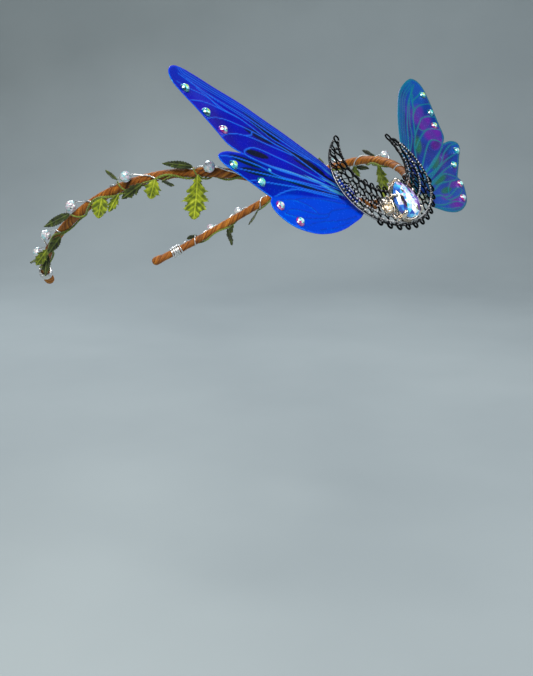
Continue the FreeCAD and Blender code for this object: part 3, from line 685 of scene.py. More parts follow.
def add_leaf(piece, values, leaf, side, seed):
    """One cloth leaf: cupped, embossed with a midrib and side veins. Returns its flat area."""
    kind, angle, turn, length, width, heading = leaf
    along_band, outward, _ = band_frame(angle, side)
    back, out, up = heading
    along = (along_band * back + outward * out + UP * up).normalized()
    base = around_band(angle, side, 3.5, turn)
    radial = base - band_point(angle, side)
    facing = (radial - along * radial.dot(along)).normalized()
    across = facing.cross(along)
    chance = random.Random("leaf %s" % seed)
    wobble = chance.uniform(0, 6)
    rows, cols = max(24, round(length * 4.2)), 9
    curl = chance.uniform(-0.02, 0.02)
    thick = 0.13
    top, bottom = [], []
    area = 0.0
    for i in range(rows + 1):
        share = i / rows
        halves = [leaf_half_width(kind, length, width, share, wobble + 2.0 * k) for k in (0, 1)]
        area += sum(halves) * length / rows
        for j in range(-cols, cols + 1):
            part = j / cols
            half = halves[0] if part < 0 else halves[1]
            reach = half * part
            rib = math.exp(-(reach / 0.28) ** 2)
            slant = share * length - abs(reach) * 0.8
            branch = 0.5 + 0.5 * math.cos(math.tau * slant / 2.6)
            raised = max(rib, 0.55 * branch ** 4 * min(1.0, abs(reach) / 0.6))
            lift = 0.28 * rib + 0.2 * raised + 0.16 * abs(reach) ** 1.4 * 0.5 + curl * (share * length) ** 2 * 0.4
            lift += 0.35 * noise.noise(Vector((share * length * 0.35, reach * 0.45, seed_number(seed))))
            swept = share * length + (0.38 * abs(reach) if LOBES[kind][0] else 0.0) * (1.0 - share)
            spot = base + along * swept + across * (reach * side) + facing * (lift * 0.9)
            top.append(spot + facing * thick)
            bottom.append(spot - facing * thick)
            # Raised ribs get a higher value, painted lighter in the cloth as a highlight.
            values["crease"].append(0.5 * raised - 0.22)
            values["weave"].append((share * length * MM, reach * MM, seed_number(seed) * MM))
    wide = 2 * cols + 1
    count = (rows + 1) * wide
    values["crease"] += values["crease"][-count:]
    values["weave"] += values["weave"][-count:]
    faces = []
    for i in range(rows):
        for j in range(wide - 1):
            a = i * wide + j
            quad = (a, a + wide, a + wide + 1, a + 1)
            faces.append(quad)
            faces.append(tuple(count + k for k in reversed(quad)))
    edge = [i * wide for i in range(rows + 1)]
    edge += [rows * wide + j for j in range(1, wide)]
    edge += [i * wide + wide - 1 for i in range(rows - 1, -1, -1)]
    edge += list(range(wide - 2, 0, -1))
    for a, b in zip(edge, edge[1:] + edge[:1]):
        faces.append((b, a, count + a, count + b))
    if side < 0:
        faces = [face[::-1] for face in faces]
    piece.add(top + bottom, faces, mark=OTHER_DYE.get(seed.split("_", 1)[1], 0.0))
    return area


def seed_number(seed):
    """A steady number for a leaf's name."""
    return sum(ord(letter) * (i + 1) for i, letter in enumerate(seed)) % 97


def build_leaves(name, side):
    """Every cloth leaf of one arm, grouped as in the frame."""
    for group, leaves in LEAVES.items():
        piece = Piece()
        values = {"crease": [], "weave": []}
        area = 0.0
        for number, leaf in enumerate(leaves):
            area += add_leaf(piece, values, leaf, side, "%s_%s%d" % (name, group, number + 1))
        slot = LEAF_SLOTS[group]
        cloth = piece.build("%s_%s_cloth" % (group, name), slot, values=values)
        node_name = "%s_%s" % (name, group)
        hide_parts(node_name)
        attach(cloth, node_name if group.startswith("leaf_") else "arm_" + name)


# --------------------------------------------------------- the leaning front
LEAN = math.radians(33.0)
SWEEP = math.radians(3.9)
FRONT_MIDDLE = Vector((0, -99.9, -5.9))
ACROSS = Vector((1, 0, 0))
LEANING_UP = Vector((0, math.sin(LEAN), math.cos(LEAN)))
FACING = Vector((0, -math.cos(LEAN), math.sin(LEAN)))
WING_ROOT = 36.0
HINGE = 6.5


def front_point(across, up, out=0.0):
    """A point of the leaning plane that holds the crescent."""
    return FRONT_MIDDLE + ACROSS * across + LEANING_UP * up + FACING * out


def wing_point(side, out, up, lift=0.0):
    """A point of one wing's swept-back plane."""
    along = ACROSS * (side * math.cos(SWEEP)) - FACING * math.sin(SWEEP)
    normal = FACING * math.cos(SWEEP) + ACROSS * (side * math.sin(SWEEP))
    return front_point(side * WING_ROOT, 0, -1.5) + along * out + LEANING_UP * up + normal * lift


NOTCH = (52.0, 33.0)
CREASE = math.radians(30.0)
FORE_TILT = math.radians(8.0)
OUTER_CURL = 0.10
TIP_CURL = 0.16


def film_place(out, up):
    """Where a spot of the flat film goes when the forewing bends back along the crease."""
    p = (out - NOTCH[0]) * math.cos(CREASE) + (up - NOTCH[1]) * math.sin(CREASE)
    q = (up - NOTCH[1]) * math.cos(CREASE) - (out - NOTCH[0]) * math.sin(CREASE)
    beyond = 0.5 * (q + np.sqrt(q * q + 4.0))
    q_bent = q - beyond * (1 - math.cos(FORE_TILT))
    behind = -beyond * math.sin(FORE_TILT)
    behind += OUTER_CURL * 0.5 * (out - 50 + np.sqrt((out - 50) ** 2 + 9))
    behind += TIP_CURL * 0.5 * (up - 68 + np.sqrt((up - 68) ** 2 + 9))
    behind += 0.12 * np.sin(out * 0.21 + up * 0.13) * np.clip((out - 10) / 20, 0, 1)
    return (NOTCH[0] + p * math.cos(CREASE) - q_bent * math.sin(CREASE),
            NOTCH[1] + p * math.sin(CREASE) + q_bent * math.cos(CREASE), behind)


def film_spot(side, out, up, lift=0.0):
    """A point on one wing's film."""
    x, y, behind = film_place(out, up)
    return wing_point(side, x, y, behind + lift)


LEADING_EDGE = [(-9.0, 9.5), (-1.8, 24.0), (9.5, 37.0), (21.0, 48.6), (33.4, 59.8), (46.0, 69.0),
                (56.0, 73.9)]
OUTLINE = [
    LEADING_EDGE,
    [(56.0, 73.9), (62.0, 75.2), (66.8, 73.3), (68.9, 68.6), (67.2, 62.0), (63.8, 53.8), (60.4, 45.0),
     (57.4, 37.2),
     (52.0, 33.0)],
    [(52.0, 33.0), (61.0, 34.2), (67.6, 32.6), (66.8, 28.6), (61.0, 24.0), (53.6, 17.8), (47.6, 12.8)],
    [(47.6, 12.8), (50.0, 9.6), (48.0, 4.4), (42.0, -1.5), (32.4, -5.4), (22.0, -6.8),
     (12.4, -6.2), (4.0, -4.4), (-3.6, -2.2), (-9.4, 2.2), (-9.0, 9.5)],
]
# printed veins: half-width at the root and at the end, then the points they pass
VEINS = [
    (0.55, 0.35, [(2.1, 23.9), (13.3, 32.6), (28.7, 46.8), (43.8, 59.0), (54.3, 65.9), (62.0, 71.5)]),
    (0.60, 0.40, [(-2, 13), (7, 19), (19, 32), (27.9, 38.8), (39, 50.5), (46.8, 55.4), (50.2, 61),
                  (54.8, 65.2)]),
    (0.45, 0.30, [(39.0, 50.5), (44.6, 54.7), (51.1, 61.0), (59.8, 64.4), (65.8, 67.5)]),
    (0.45, 0.30, [(39.0, 50.5), (45.6, 54.6), (52.5, 57.6), (59.0, 58.4), (65.0, 58.2)]),
    (0.45, 0.30, [(27.9, 38.8), (35.5, 43.4), (42.0, 46.9), (48.5, 49.9), (55.5, 50.6), (61.8, 49.4)]),
    (0.45, 0.30, [(19.0, 31.0), (29.9, 36.4), (39.4, 40.6), (47.0, 42.6), (53.9, 42.4), (59.0, 41.0)]),
    (0.50, 0.35, [(8, 16.9), (25.9, 28.0), (39.3, 34.9), (46.6, 35.1), (50.2, 33.1), (47.1, 30.3),
                  (30.3, 23.2),
                  (8, 14.7)]),
    (0.55, 0.40, [(-4, 10), (8, 14.7), (23.2, 19.9), (37.9, 25.7), (52, 33.2)]),
    (0.45, 0.30, [(36.0, 43.7), (38.5, 41.8), (42.5, 41.6)]),
    (0.40, 0.25, [(10, 28.5), (24, 38.5), (32, 47.5), (47.0, 60.5), (58.0, 69.5)]),
    (0.55, 0.35, [(4.9, 12.2), (33.1, 20), (46, 27), (58, 31.4), (66.5, 32.2)]),
    (0.50, 0.30, [(4.9, 10), (29.6, 18.3), (44.4, 23), (58.5, 26.2), (65, 28)]),
    (0.50, 0.30, [(5.2, 8.6), (23.5, 13.8), (39.1, 18), (50.6, 20.4), (56, 21)]),
    (0.55, 0.35, [(4.5, 7.1), (28, 14.2), (38, 14.4), (45.4, 12.9)]),
    (0.55, 0.30, [(-3.6, 2.7), (9.6, 6.2), (22, 9.6), (35.4, 10.5), (45.4, 11.6)]),
    (0.50, 0.30, [(-2.9, 2.1), (14.3, 2.8), (20.3, 0.2), (28, 0.8), (36.8, 2.3), (43.9, 5.1)]),
    (0.40, 0.30, [(17.1, 1.8), (24, 2.2), (30.8, 4.1), (39.3, 6.5), (44.7, 5.2)]),
    (0.40, 0.30, [(24, 2.2), (27.5, 6.5), (35.4, 10.5)]),
    (0.45, 0.25, [(0.4, -1.7), (11.2, -2.3), (27, -0.9), (34.4, -1.8), (38.5, -3)]),
    (0.35, 0.25, [(6, -3.6), (18, -4.8), (30, -4.2)]),
]
# soft patches: out, up, heading, half-length, half-width, strength
INK = [(27, 43.6, 44, 9, 1.9, 1), (33.0, 41.4, 30, 9, 2.5, 0.9), (11, 26.6, 43, 10, 2.0, 1),
       (42.5, 32.4, 16, 7.5, 2.0, 1),
       (26, 16.8, 20, 10, 1.6, 0.95), (52, 29.2, 20, 10, 1.9, 1), (50, 24.4, 14, 9, 1.6, 1),
       (20, 33.0, 42, 8, 1.5, 1),
       (38, 21.4, 20, 9, 1.3, 0.9), (29.5, 50.0, 43, 7, 1.0, 1), (22, 43.0, 44, 7, 0.8, 1),
       (5, 19.5, 42, 7, 0.9, 1),
       (14, 25.0, 36, 8, 1.0, 0.9), (0, 15.5, 40, 7, 0.8, 0.9), (4, 12.6, 25, 8, 0.6, 0.9),
       (16, 12.2, 16, 11, 0.9, 0.8)]
# Streaks of painted cyan sheen along the bend line and at the root.
SHEEN_STREAKS = [(24, 20.8, 22, 17, 0.8, 0.9), (34, 24.4, 24, 9, 0.5, 0.8), (6, 12, 28, 9, 1.4, 0.7),
        (40.3, 24.6, 0, 1, 0.9, 1),
        (13, 17.2, 28, 9, 0.6, 0.8), (0, 20, 50, 6, 0.8, 0.6), (4, 15.5, 35, 8, 0.5, 0.8)]
VIOLET = [(45.5, 52, 30, 14, 5.2, 0.7), (47, 46.5, 22, 14, 3.7, 0.95), (48, 39.4, 12, 15, 4.6, 1),
          (45, 33.2, 18, 12, 3.4, 1),
          (34, 50.5, 42, 14, 2.8, 0.5), (42, 24.0, 18, 10, 3.2, 0.6), (38, 8.6, 5, 12, 2.2, 0.85),
          (30, -1.6, 8, 15, 3.8, 1), (20, 1.8, 3, 10, 2.2, 0.6), (50, 17.5, 20, 6, 2.0, 0.5)]
GREEN = [(24, 33.0, 38, 11, 3.2, 1), (30, 21.5, 22, 12, 2.6, 0.9), (23, 11.6, 14, 13, 2.2, 1),
         (24, 5.6, 8, 10, 2.0, 0.9)]
TIP = [(60, 68, 45, 22, 9, 0.8), (61, 30, 10, 13, 4.5, 0.8), (30, 3, 8, 22, 3.5, 0.6)]
STONES = [(63.4, 64.2), (59.4, 52.6), (54.8, 44.4), (61.6, 28.0), (49.6, 19.8), (45.2, 8.8), (38.5, 0.6)]


def flat_curve(points, step):
    """A smooth curve in the flat film, as an array."""
    return np.array([tuple(p) for p in smooth_path([Vector((x, y)) for x, y in points], step)])


def segment_distance(spots, line):
    """Distance of each spot from a line of segments, and the share along it where it is nearest."""
    best = np.full(len(spots), 1e9)
    share = np.zeros(len(spots))
    for i, (a, b) in enumerate(zip(line[:-1], line[1:])):
        run = b - a
        t = np.clip(((spots - a) @ run) / max(run @ run, 1e-9), 0, 1)
        gap = np.hypot(*(spots - (a + t[:, None] * run)).T)
        nearer = gap < best
        best[nearer] = gap[nearer]
        share[nearer] = (i + t[nearer]) / (len(line) - 1)
    return best, share


def ramp_down(value, inner, outer):
    """1 below inner, 0 above outer, soft between."""
    share = np.clip((outer - value) / (outer - inner), 0, 1)
    return share * share * (3 - 2 * share)


def patches(spots, table, crisp=0.5):
    """Strength of the elongated patches at each spot."""
    result = np.zeros(len(spots))
    for out, up, heading, long, wide, strength in table:
        swing = math.radians(heading)
        gap = spots - np.array((out, up))
        p = (gap @ np.array((math.cos(swing), math.sin(swing)))) / long
        q = (gap @ np.array((-math.sin(swing), math.cos(swing)))) / wide
        result = np.maximum(result, strength * ramp_down(np.hypot(p, q), crisp, 1.0))
    return result


def film_pattern(teal):
    """Flat film cut to its outline, with the print's values and the painted sheen at every point."""
    edge = np.vstack([flat_curve(part, 0.8)[:-1] for part in OUTLINE])
    step = 0.55
    low, high = edge.min(0), edge.max(0)
    grid = []
    for row, y in enumerate(np.arange(low[1], high[1], step * 0.866)):
        for x in np.arange(low[0] + (row % 2) * step / 2, high[0], step):
            grid.append((x, y))
    grid = np.array(grid)
    inside = np.zeros(len(grid), bool)
    for a, b in zip(edge, np.roll(edge, -1, axis=0)):
        if a[1] != b[1]:
            between = (a[1] > grid[:, 1]) != (b[1] > grid[:, 1])
            crossing = a[0] + (grid[:, 1] - a[1]) * (b[0] - a[0]) / (b[1] - a[1])
            inside ^= between & (grid[:, 0] < crossing)
    closed = np.vstack([edge, edge[:1]])
    grid = grid[inside]
    grid = grid[segment_distance(grid, closed)[0] > 0.35]
    flat = np.vstack([edge, grid])
    spots, _, faces, *_ = delaunay_2d_cdt(
        [Vector(p) for p in flat.tolist()], [], [list(range(len(edge)))], 1, 1e-5)
    spots = np.array([tuple(p) for p in spots])
    stretch = 1.15 if teal else 0.8
    vein = np.zeros(len(spots))
    for root, tip, points in VEINS:
        gap, share = segment_distance(spots, flat_curve(points, 1.2))
        half = (root + (tip - root) * share) * stretch
        vein = np.maximum(vein, ramp_down(gap, half * 0.35, half * 1.25))
    lead = segment_distance(spots, flat_curve(LEADING_EDGE, 1.0))[0]
    for inset, strength in ((1.6, 0.75), (3.0, 0.9), (4.4, 0.7)):
        vein = np.maximum(vein, strength * ramp_down(abs(lead - inset), 0.1, 0.5))
    if not teal:
        fine = 0.5 + 0.5 * np.sin(lead * 4.6)
        vein = np.maximum(vein, 0.34 * fine ** 4 * ramp_down(lead, 4.0, 8.0))
    border = segment_distance(spots, closed)[0]
    boundary = 5.9 + (spots[:, 0] + 3) * 0.18
    lobe = ramp_down(spots[:, 1] - np.minimum(boundary, 13.2), -1.0, 0.6)
    values = {
        "vein": vein, "lobe": lobe * (0.85 if not teal else 0.3),
        "rim": ramp_down(border, 0.25, 0.9 if not teal else 1.7) * (0.75 if not teal else 0.95),
        "ink": patches(spots, INK, 0.8) * (1 - 0.75 * vein) * (1.0 if not teal else 0.35),
        # Painted cyan sheen, weaker on the teal wing.
        "painted_sheen": patches(spots, SHEEN_STREAKS) * (0.9 if not teal else 0.25),
        "violet": patches(spots, VIOLET) * (0.8 + 0.2 * np.sin(spots[:,
                                                                     0] * 0.5)) if teal else np.zeros(len(spots)),
        "green": patches(spots, GREEN) if teal else np.zeros(len(spots)),
        "tip": patches(spots, TIP) * (0.35 if not teal else 0.7),
    }
    return spots, faces, values


def build_wing(name, side):
    """One printed film wing that bends beside the crescent, and its seven stones."""
    spots, faces, values = film_pattern(teal=side > 0)
    x, y, behind = film_place(spots[:, 0], spots[:, 1])
    ridge = 0.1 * values["vein"]
    top = [wing_point(side, a, b, c) for a, b, c in zip(x, y, behind + ridge)]
    bottom = [wing_point(side, a, b, c) for a, b, c in zip(x, y, behind - 0.22 - ridge)]
    count = len(spots)
    edges = {}
    for face in faces:
        for a, b in zip(face, face[1:] + face[:1]):
            edges[(a, b)] = edges.get((a, b), 0) + 1
    walls = [(b, a, count + a, count + b) for a, b in edges if (b, a) not in edges]
    solid = [tuple(face) for face in faces] + [tuple(count + i for i in reversed(face)) for face in faces] + walls
    if side < 0:
        solid = [face[::-1] for face in solid]
    piece = Piece()
    piece.add(top + bottom, solid)
    doubled = {key: np.concatenate([data, data]) for key, data in values.items()}
    slot = "film_blue" if side < 0 else "film_teal"
    film = piece.build("wing_film_" + name, slot, values=doubled)
    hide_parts("wing_%s_root" % name, "wing_%s_film" % name)
    wing_point(side, HINGE - 3.5, 14) * MM
    wing_point(side, HINGE + 3.5, 14) * MM
    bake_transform(film)
    for number, (out, up) in enumerate(STONES, start=1):
        build_stone(name, side, number, out, up)


def cut_crystal(piece, place, rows, outline, seed, tone):
    """Rings of flat facets between rows of (scale, height, half-step), closed by a table and a base."""
    chance = random.Random(seed)
    flat = [(x * scale, y * scale) for scale, _, half in rows for x, y in outline(0.5 * half)]
    count = len(outline(0.0))
    first = len(piece.points)
    for scale, height, half in rows:
        piece.points.extend(place(x * scale, y * scale, height) for x, y in outline(0.5 * half))
    new = []
    for row, (_, _, half) in enumerate(rows[:-1]):
        a, b = first + row * count, first + (row + 1) * count
        next_half = rows[row + 1][2]
        for k in range(count):
            m = (k + 1) % count
            if half == next_half:
                new.append((a + k, a + m, b + m, b + k))
            elif half == 0:
                new += [(a + k, a + m, b + k), (a + m, b + m, b + k)]
            else:
                new += [(a + k, b + m, b + k), (a + k, a + m, b + m)]
    last = first + (len(rows) - 1) * count
    new.append(tuple(range(last, last + count)))
    new.append(tuple(reversed(range(first, first + count))))
    piece.faces += new
    for face in new:
        x = sum(flat[i - first][0] for i in face) / len(face)
        y = sum(flat[i - first][1] for i in face) / len(face)
        piece.marks.append(tone(x, y, chance))


def round_outline(count):
    """A regular outline for round stones."""
    def outline(shift):
        return [(math.cos(math.tau * (k + shift) / count), math.sin(math.tau * (k + shift) / count))
                for k in range(count)]
    return outline


def stone_tone(hue):
    """Facet colours of a flat-back: deep teal or magenta outside, and bright facets at the middle that are
    painted glints.
    """
    def tone(x, y, chance):
        reach = math.hypot(x, y)
        if reach > 1.45:
            return hue + chance.uniform(-0.06, 0.07)
        if reach > 0.75:
            return chance.choice((hue, 0.14, 0.3, 0.46, 0.14))
        return chance.choice((0.3, 0.6, 0.72, 0.46))
    return tone


def gem_tone(x, y, chance):
    """Facet colours of the pear: aqua and blue on one side, white, then lilac and violet; white facets are
    painted glints and about one in eight is painted near black as a dark reflection.
    """
    if chance.random() < 0.12:
        return 0.87
    return min(0.8, max(0.02, 0.4 + 0.05 * x + 0.012 * y + chance.uniform(-0.28, 0.28)))


STONE_ROWS = [(2.0, 0.0, 0), (2.12, 0.3, 0), (1.75, 0.85, 1), (1.35, 1.35, 0), (0.85, 1.66, 1)]


def build_stone(name, side, number, out, up):
    """A flat-back stone glued on the front of the film."""
    centre = film_spot(side, out, up, -0.05)
    right = (film_spot(side, out + 0.5, up) - film_spot(side, out - 0.5, up)).normalized() * side
    top = (film_spot(side, out, up + 0.5) - film_spot(side, out, up - 0.5)).normalized()
    normal = right.cross(top).normalized()
    piece = Piece()
    cut_crystal(piece, lambda x, y, z: centre + right * x + top * y + normal * z, STONE_ROWS,
                round_outline(10),
                "stone %s %d" % (name, number), stone_tone(0.05 if number in (1, 2, 4, 5) else 0.88))
    stone = piece.build("wing_stone_%s_%d" % (name, number), "stone_crystal", smooth=False)
    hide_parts("wing_%s_stone_%d" % (name, number))
    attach(stone, "wing_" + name)


# --------------------------------------------------------------- the crescent
def lace_point(along, depth, lift=0.0):
    """A point of the crescent: along -1 to 1 from horn to horn, depth 0 at the hollow and 1 outside."""
    horn = max(0.0, abs(along) - 0.55) / 0.4
    outer = math.radians(149.0 * along)
    inner = math.radians(127.5 * along)
    x = (1 - depth) * 26.2 * math.sin(inner) + depth * 40.4 * math.sin(outer)
    y = (1 - depth) * (24.0 - 17.0 * math.cos(inner)) + depth * (14.2 - 24.2 * math.cos(outer))
    x += math.copysign(1.4 * horn * (depth - 0.2), along)
    y += 1.1 * horn ** 2
    return front_point(x, y, lift)


def ring_on_front(piece, centre, radius, wire, sides=6, turns=18, mark=0.0, long=1.0, heading=None):
    """A closed loop of wire lying in the leaning plane."""
    major = heading or ACROSS
    minor = FACING.cross(major).normalized()
    path = [centre + major * (radius * long * math.cos(math.tau * k / turns))
            + minor * (radius * math.sin(math.tau * k / turns)) for k in range(turns)]
    piece.tube(path, wire, sides, closed=True, mark=mark)


LACE_END = 0.95


def granule_row(piece, depth, lift, size, gap, chance, first=-LACE_END, last=LACE_END):
    """A line of small balls along the crescent, painted near white as highlights."""
    place = first
    while place < last:
        piece.ball(lace_point(place, depth, lift), size, mark=chance.choice((0.5, 0.8, 1.0)))
        run = (lace_point(place + 0.004, depth) - lace_point(place - 0.004, depth)).length / 0.008
        place += gap / run


def build_lace():
    """Stamped filigree: roped rims, open wire cells, granules and scallop loops."""
    piece = Piece()
    chance = random.Random("lace")
    for depth in (0.0, 1.0):
        rim = [lace_point(LACE_END * (-1 + 2 * k / 240), depth) for k in range(241)]
        rope(piece, rim, 0.3, 0.38, 2.4, strands=2, mark=0.03)
    # A thin pale tube along the lower-left outer edge: a painted highlight of the rim's edge.
    edge_highlight = []
    for k in range(91):
        place = -0.8 + 0.58 * k / 90
        edge_highlight.append(lace_point(place, 1.035, 0.2))
    piece.tube(edge_highlight, 0.17, 6, mark=0.75)
    for end in (-1, 1):
        base = lace_point(end * LACE_END, 0.5)
        heading = (base - lace_point(end * (LACE_END - 0.02), 0.5)).normalized()
        ring_on_front(piece, base + heading * 1.3, 1.45, 0.42, long=1.35, heading=heading)
    step = 0.004
    along = -LACE_END + 0.01
    while along < LACE_END - 0.02:
        width = (lace_point(along, 1.0) - lace_point(along, 0.0)).length
        rows = max(1, round(width / 4.6))
        radius = width / rows / 2
        run = (lace_point(along + step, 0.55) - lace_point(along - step, 0.55)) / (2 * step)
        heading = run.normalized()
        long = 1.35 if rows == 1 else 1.05
        centre_along = along + radius * long / run.length
        for row in range(rows):
            depth = (row + 0.5) / rows
            centre = lace_point(centre_along, depth, 0.05 * ((row % 2) * 2 - 1))
            spread = (lace_point(centre_along + step, depth) - lace_point(centre_along - step, depth)).length
            stretch = min(1.5, max(0.6, spread / (run.length * 2 * step)))
            ring_on_front(piece, centre, radius * 0.94, 0.36, long=long * stretch, heading=heading)
            if rows > 1 and row == 1:
                spoke = FACING.cross(heading)
                piece.tube([centre + spoke * (radius * 0.9), centre - spoke * (radius * 0.9)], 0.2, 5)
        # Balls at the cell joints are painted mid grey as highlights.
        for row in range(rows + 1):
            piece.ball(lace_point(along, row / rows, 0.35), 0.46, mark=0.35)
        along += 2 * radius * long / run.length
    granule_row(piece, 0.93, 0.42, 0.48, 1.5, chance, -0.66, 0.9)
    granule_row(piece, 0.07, 0.42, 0.36, 1.5, chance, 0.12, 0.86)
    granule_row(piece, 0.76, 0.42, 0.5, 1.6, chance, -0.66, -0.08)
    granule_row(piece, 0.57, 0.42, 0.44, 1.7, chance, -0.5, -0.1)
    granule_row(piece, 0.5, 0.42, 0.46, 1.6, chance, 0.1, 0.84)
    for angle in np.linspace(-34.0, 82.0, 12):
        swing = math.radians(float(angle))
        centre = front_point(41.0 * math.sin(swing), 14.2 - 24.9 * math.cos(swing), 0)
        ring_on_front(piece, centre, 1.5, 0.5, sides=8)
        outward = (centre - front_point(0, 14.2)).normalized()
        # Each scallop's ball is painted light grey as a highlight.
        piece.ball(centre + FACING * 0.3 - outward * 1.3, 0.42, mark=0.6)
    for k in range(9):
        ring_on_front(piece, lace_point(-0.36 + 0.09 * k, -0.07, 0.1), 1.15, 0.36)
    lace = piece.build("crescent_lace", "gunmetal")
    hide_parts("crescent_filigree")
    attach(lace, "front")


# ---------------------------------------------------------- gem and settings
GEM_CENTRE = 0.2
GIRDLE = 4.6
GEM_TURN = math.radians(22.0)


def gem_point(x, y, z):
    """A point of the basket's frame, which turns towards the wearer's right as it rises from the crescent."""
    return front_point(x * math.cos(GEM_TURN) - z * math.sin(GEM_TURN), GEM_CENTRE + y,
                       0.5 + x * math.sin(GEM_TURN) + z * math.cos(GEM_TURN))


def plate_level(x):
    """Height in the basket's frame at which it meets the crescent."""
    return -x * math.tan(GEM_TURN)


def pear_spot(turn, grow=0.0):
    """Outline of the pear: turn 0 is its point and 180 its round end."""
    swing = math.radians(turn)
    return ((6.5 + grow) / 0.862 * math.sin(swing) * abs(math.sin(swing / 2)) ** 0.5,
            (9.0 + grow) * math.cos(swing))


def pear_outline(count):
    """The pear's outline as corner points."""
    def outline(shift):
        return [pear_spot(-360.0 * (k + 0.5 + shift) / count) for k in range(count)]
    return outline


def build_gem():
    """Pear crystal with a chequer of crown facets and a deep pavilion."""
    rows = [(0.2, -3.6, 0), (0.62, -2.0, 1), (1.0, 0.0, 0), (1.03, 0.6, 0), (0.9, 1.7, 1), (0.66, 2.6, 0),
            (0.42, 3.1, 1), (0.2, 3.3, 0)]
    piece = Piece()
    cut_crystal(piece, lambda x, y, z: gem_point(x, y, GIRDLE + z), rows, pear_outline(14), "pear 7",
                gem_tone)
    gem = piece.build("pear_crystal", "pear_crystal", smooth=False)
    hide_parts("pear_gem")
    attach(gem, "front")


def build_setting():
    """Claw basket of bright champagne plate round the pear."""
    piece = Piece()
    for grow, level, wire in ((0.25, 3.8, 0.4), (0.1, 2.4, 0.3)):
        path = [gem_point(x, y, max(level, plate_level(x) + 0.5))
                for x, y in (pear_spot(360.0 * k / 60, grow) for k in range(60))]
        piece.tube(path, wire, 8, closed=True, mark=0.6)
    foot_ring = [gem_point(x, y, plate_level(x) + 0.45) for x,
                 y in (pear_spot(360.0 * k / 60, 0.1) for k in range(60))]
    piece.tube(foot_ring, 0.5, 8, closed=True, mark=0.3)
    for k in range(10):
        turn = 360.0 * (k + 0.5) / 10
        low, high = pear_spot(turn, 0.1), pear_spot(turn, 0.25)
        piece.tube([gem_point(*low, plate_level(low[0]) + 0.3), gem_point(*high, 3.85)], 0.3, 6, mark=0.7)
    for turn in (2.0, 72.0, 136.0, 224.0, 288.0):
        wide = 1.15 if turn == 224.0 else 0.7
        foot = pear_spot(turn, 1.0)
        start = plate_level(foot[0]) + 0.3
        stages = ((1.0, start), (1.15, 0.5 * (start + 3.6)), (1.1, 3.6), (1.0, 5.0), (0.55, 6.1),
                  (-0.3, 6.9), (-1.4, 7.2))
        path = [gem_point(*pear_spot(turn, grow), level) for grow, level in stages]
        piece.tube(smooth_path(path, 0.35), lambda share: wide * (0.85 + 0.25 * math.sin(math.pi * share)) *
                   (1.0 if share < 0.9 else 1.0 - 4.0 * (share - 0.9)), 10, mark=0.9, flat=0.8)
        piece.ball(gem_point(*foot, start + 0.2), 0.8, mark=0.4, rings=6, sides=10)
    setting = piece.build("gem_claw_basket", "setting_metal")
    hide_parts("gem_setting")
    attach(setting, "front")


def build_side_crystal():
    """Small champagne stone in a cup with four claws and two scrolls, beside the pear."""
    across, up = -13.6, -1.4
    low = 0.5
    piece = Piece()
    for radius, level, wire in ((2.85, low + 0.3, 0.34), (2.9, low + 1.5, 0.34)):
        path = [front_point(across + radius * math.cos(math.tau * k / 28),
                            up + radius * math.sin(math.tau * k / 28), level)
                for k in range(28)]
        piece.tube(path, wire, 7, closed=True, mark=0.5)
    for k in range(4):
        swing = math.tau * (k + 0.5) / 4
        path = [front_point(across + r * math.cos(swing), up + r * math.sin(swing), low + z)
                for r, z in ((2.95, 0.0), (3.15, 1.2), (2.95, 2.1), (2.5, 2.55), (2.1, 2.6))]
        piece.tube(smooth_path(path, 0.3), 0.5, 7, mark=0.9)
    for turn in (-1, 1):
        path = []
        for k in range(26):
            swing = 0.32 * k
            reach = 0.5 + 0.085 * k
            path.append(front_point(across + 3.6 + reach * math.cos(swing) * 0.9,
                                    up - 0.4 + turn * (4.0 + reach * math.sin(swing) * 0.8), 0.9 + 0.03 * k))
        piece.tube(path, lambda share: 0.6 - 0.2 * share, 8, mark=0.7)
    cup = piece.build("side_claw_cup", "setting_metal")
    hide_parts("side_setting")
    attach(cup, "front")
    piece = Piece()
    rows = [(2.5, 0.5, 0), (2.65, 1.1, 0), (2.3, 1.9, 1), (1.7, 2.6, 0), (1.0, 3.0, 1)]

    def place(x, y, z):
        return front_point(across + x, up + y, low + z)
    cut_crystal(piece, place, rows, round_outline(10), "side", lambda x, y, chance: chance.random())
    stone = piece.build("side_crystal", "champagne_crystal", smooth=False)
    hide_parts("side_stone")
    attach(stone, "front")


def build_lashing(name, side):
    """Turns of silver wire round the vine, looped up over the crescent's lower band."""
    piece = Piece()
    turns = 5
    steps = turns * 20
    coil = [around_band(6.7 + 2.6 * k / steps, side, VINE_RADIUS + 0.36, 360.0 * turns * k / steps)
            for k in range(steps + 1)]
    piece.tube(coil, 0.3, 7)
    middle = band_point(8.0, side)
    height = (middle - FRONT_MIDDLE).dot(LEANING_UP)
    behind = (middle - FRONT_MIDDLE).dot(FACING)
    for shift in (-1.1, 0.0, 1.1):
        x = middle.x + shift
        loop = [front_point(x, height + 2.4, behind), front_point(x, height + 1.9, -0.5 * (0.5 - behind)),
                front_point(x, height + 1.4, -0.3), front_point(x, height, 0.75),
                front_point(x, height - 1.4, -0.3),
                front_point(x, height - 1.9, -0.5 * (0.5 - behind)), front_point(x, height - 2.4, behind)]
        piece.tube(smooth_path(loop, 0.4), 0.3, 7)
    tie = piece.build("lashing_coils_" + name, "silver_wire")
    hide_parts("lashing_" + name)
    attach(tie, "front")


# -------------------------------------------------------------- everything
build_lace()
build_gem()
build_setting()
build_side_crystal()
for side_name, side_sign in SIDES:
    build_lashing(side_name, side_sign)
    build_vine(side_name, side_sign)
    build_bead_wire(side_name, side_sign)
    for bead_number in range(1, len(BEADS) + 1):
        build_bead(side_name, bead_number)
    build_stem(side_name, side_sign)
    build_binding(side_name, side_sign)
    build_leaves(side_name, side_sign)
    build_wing(side_name, side_sign)

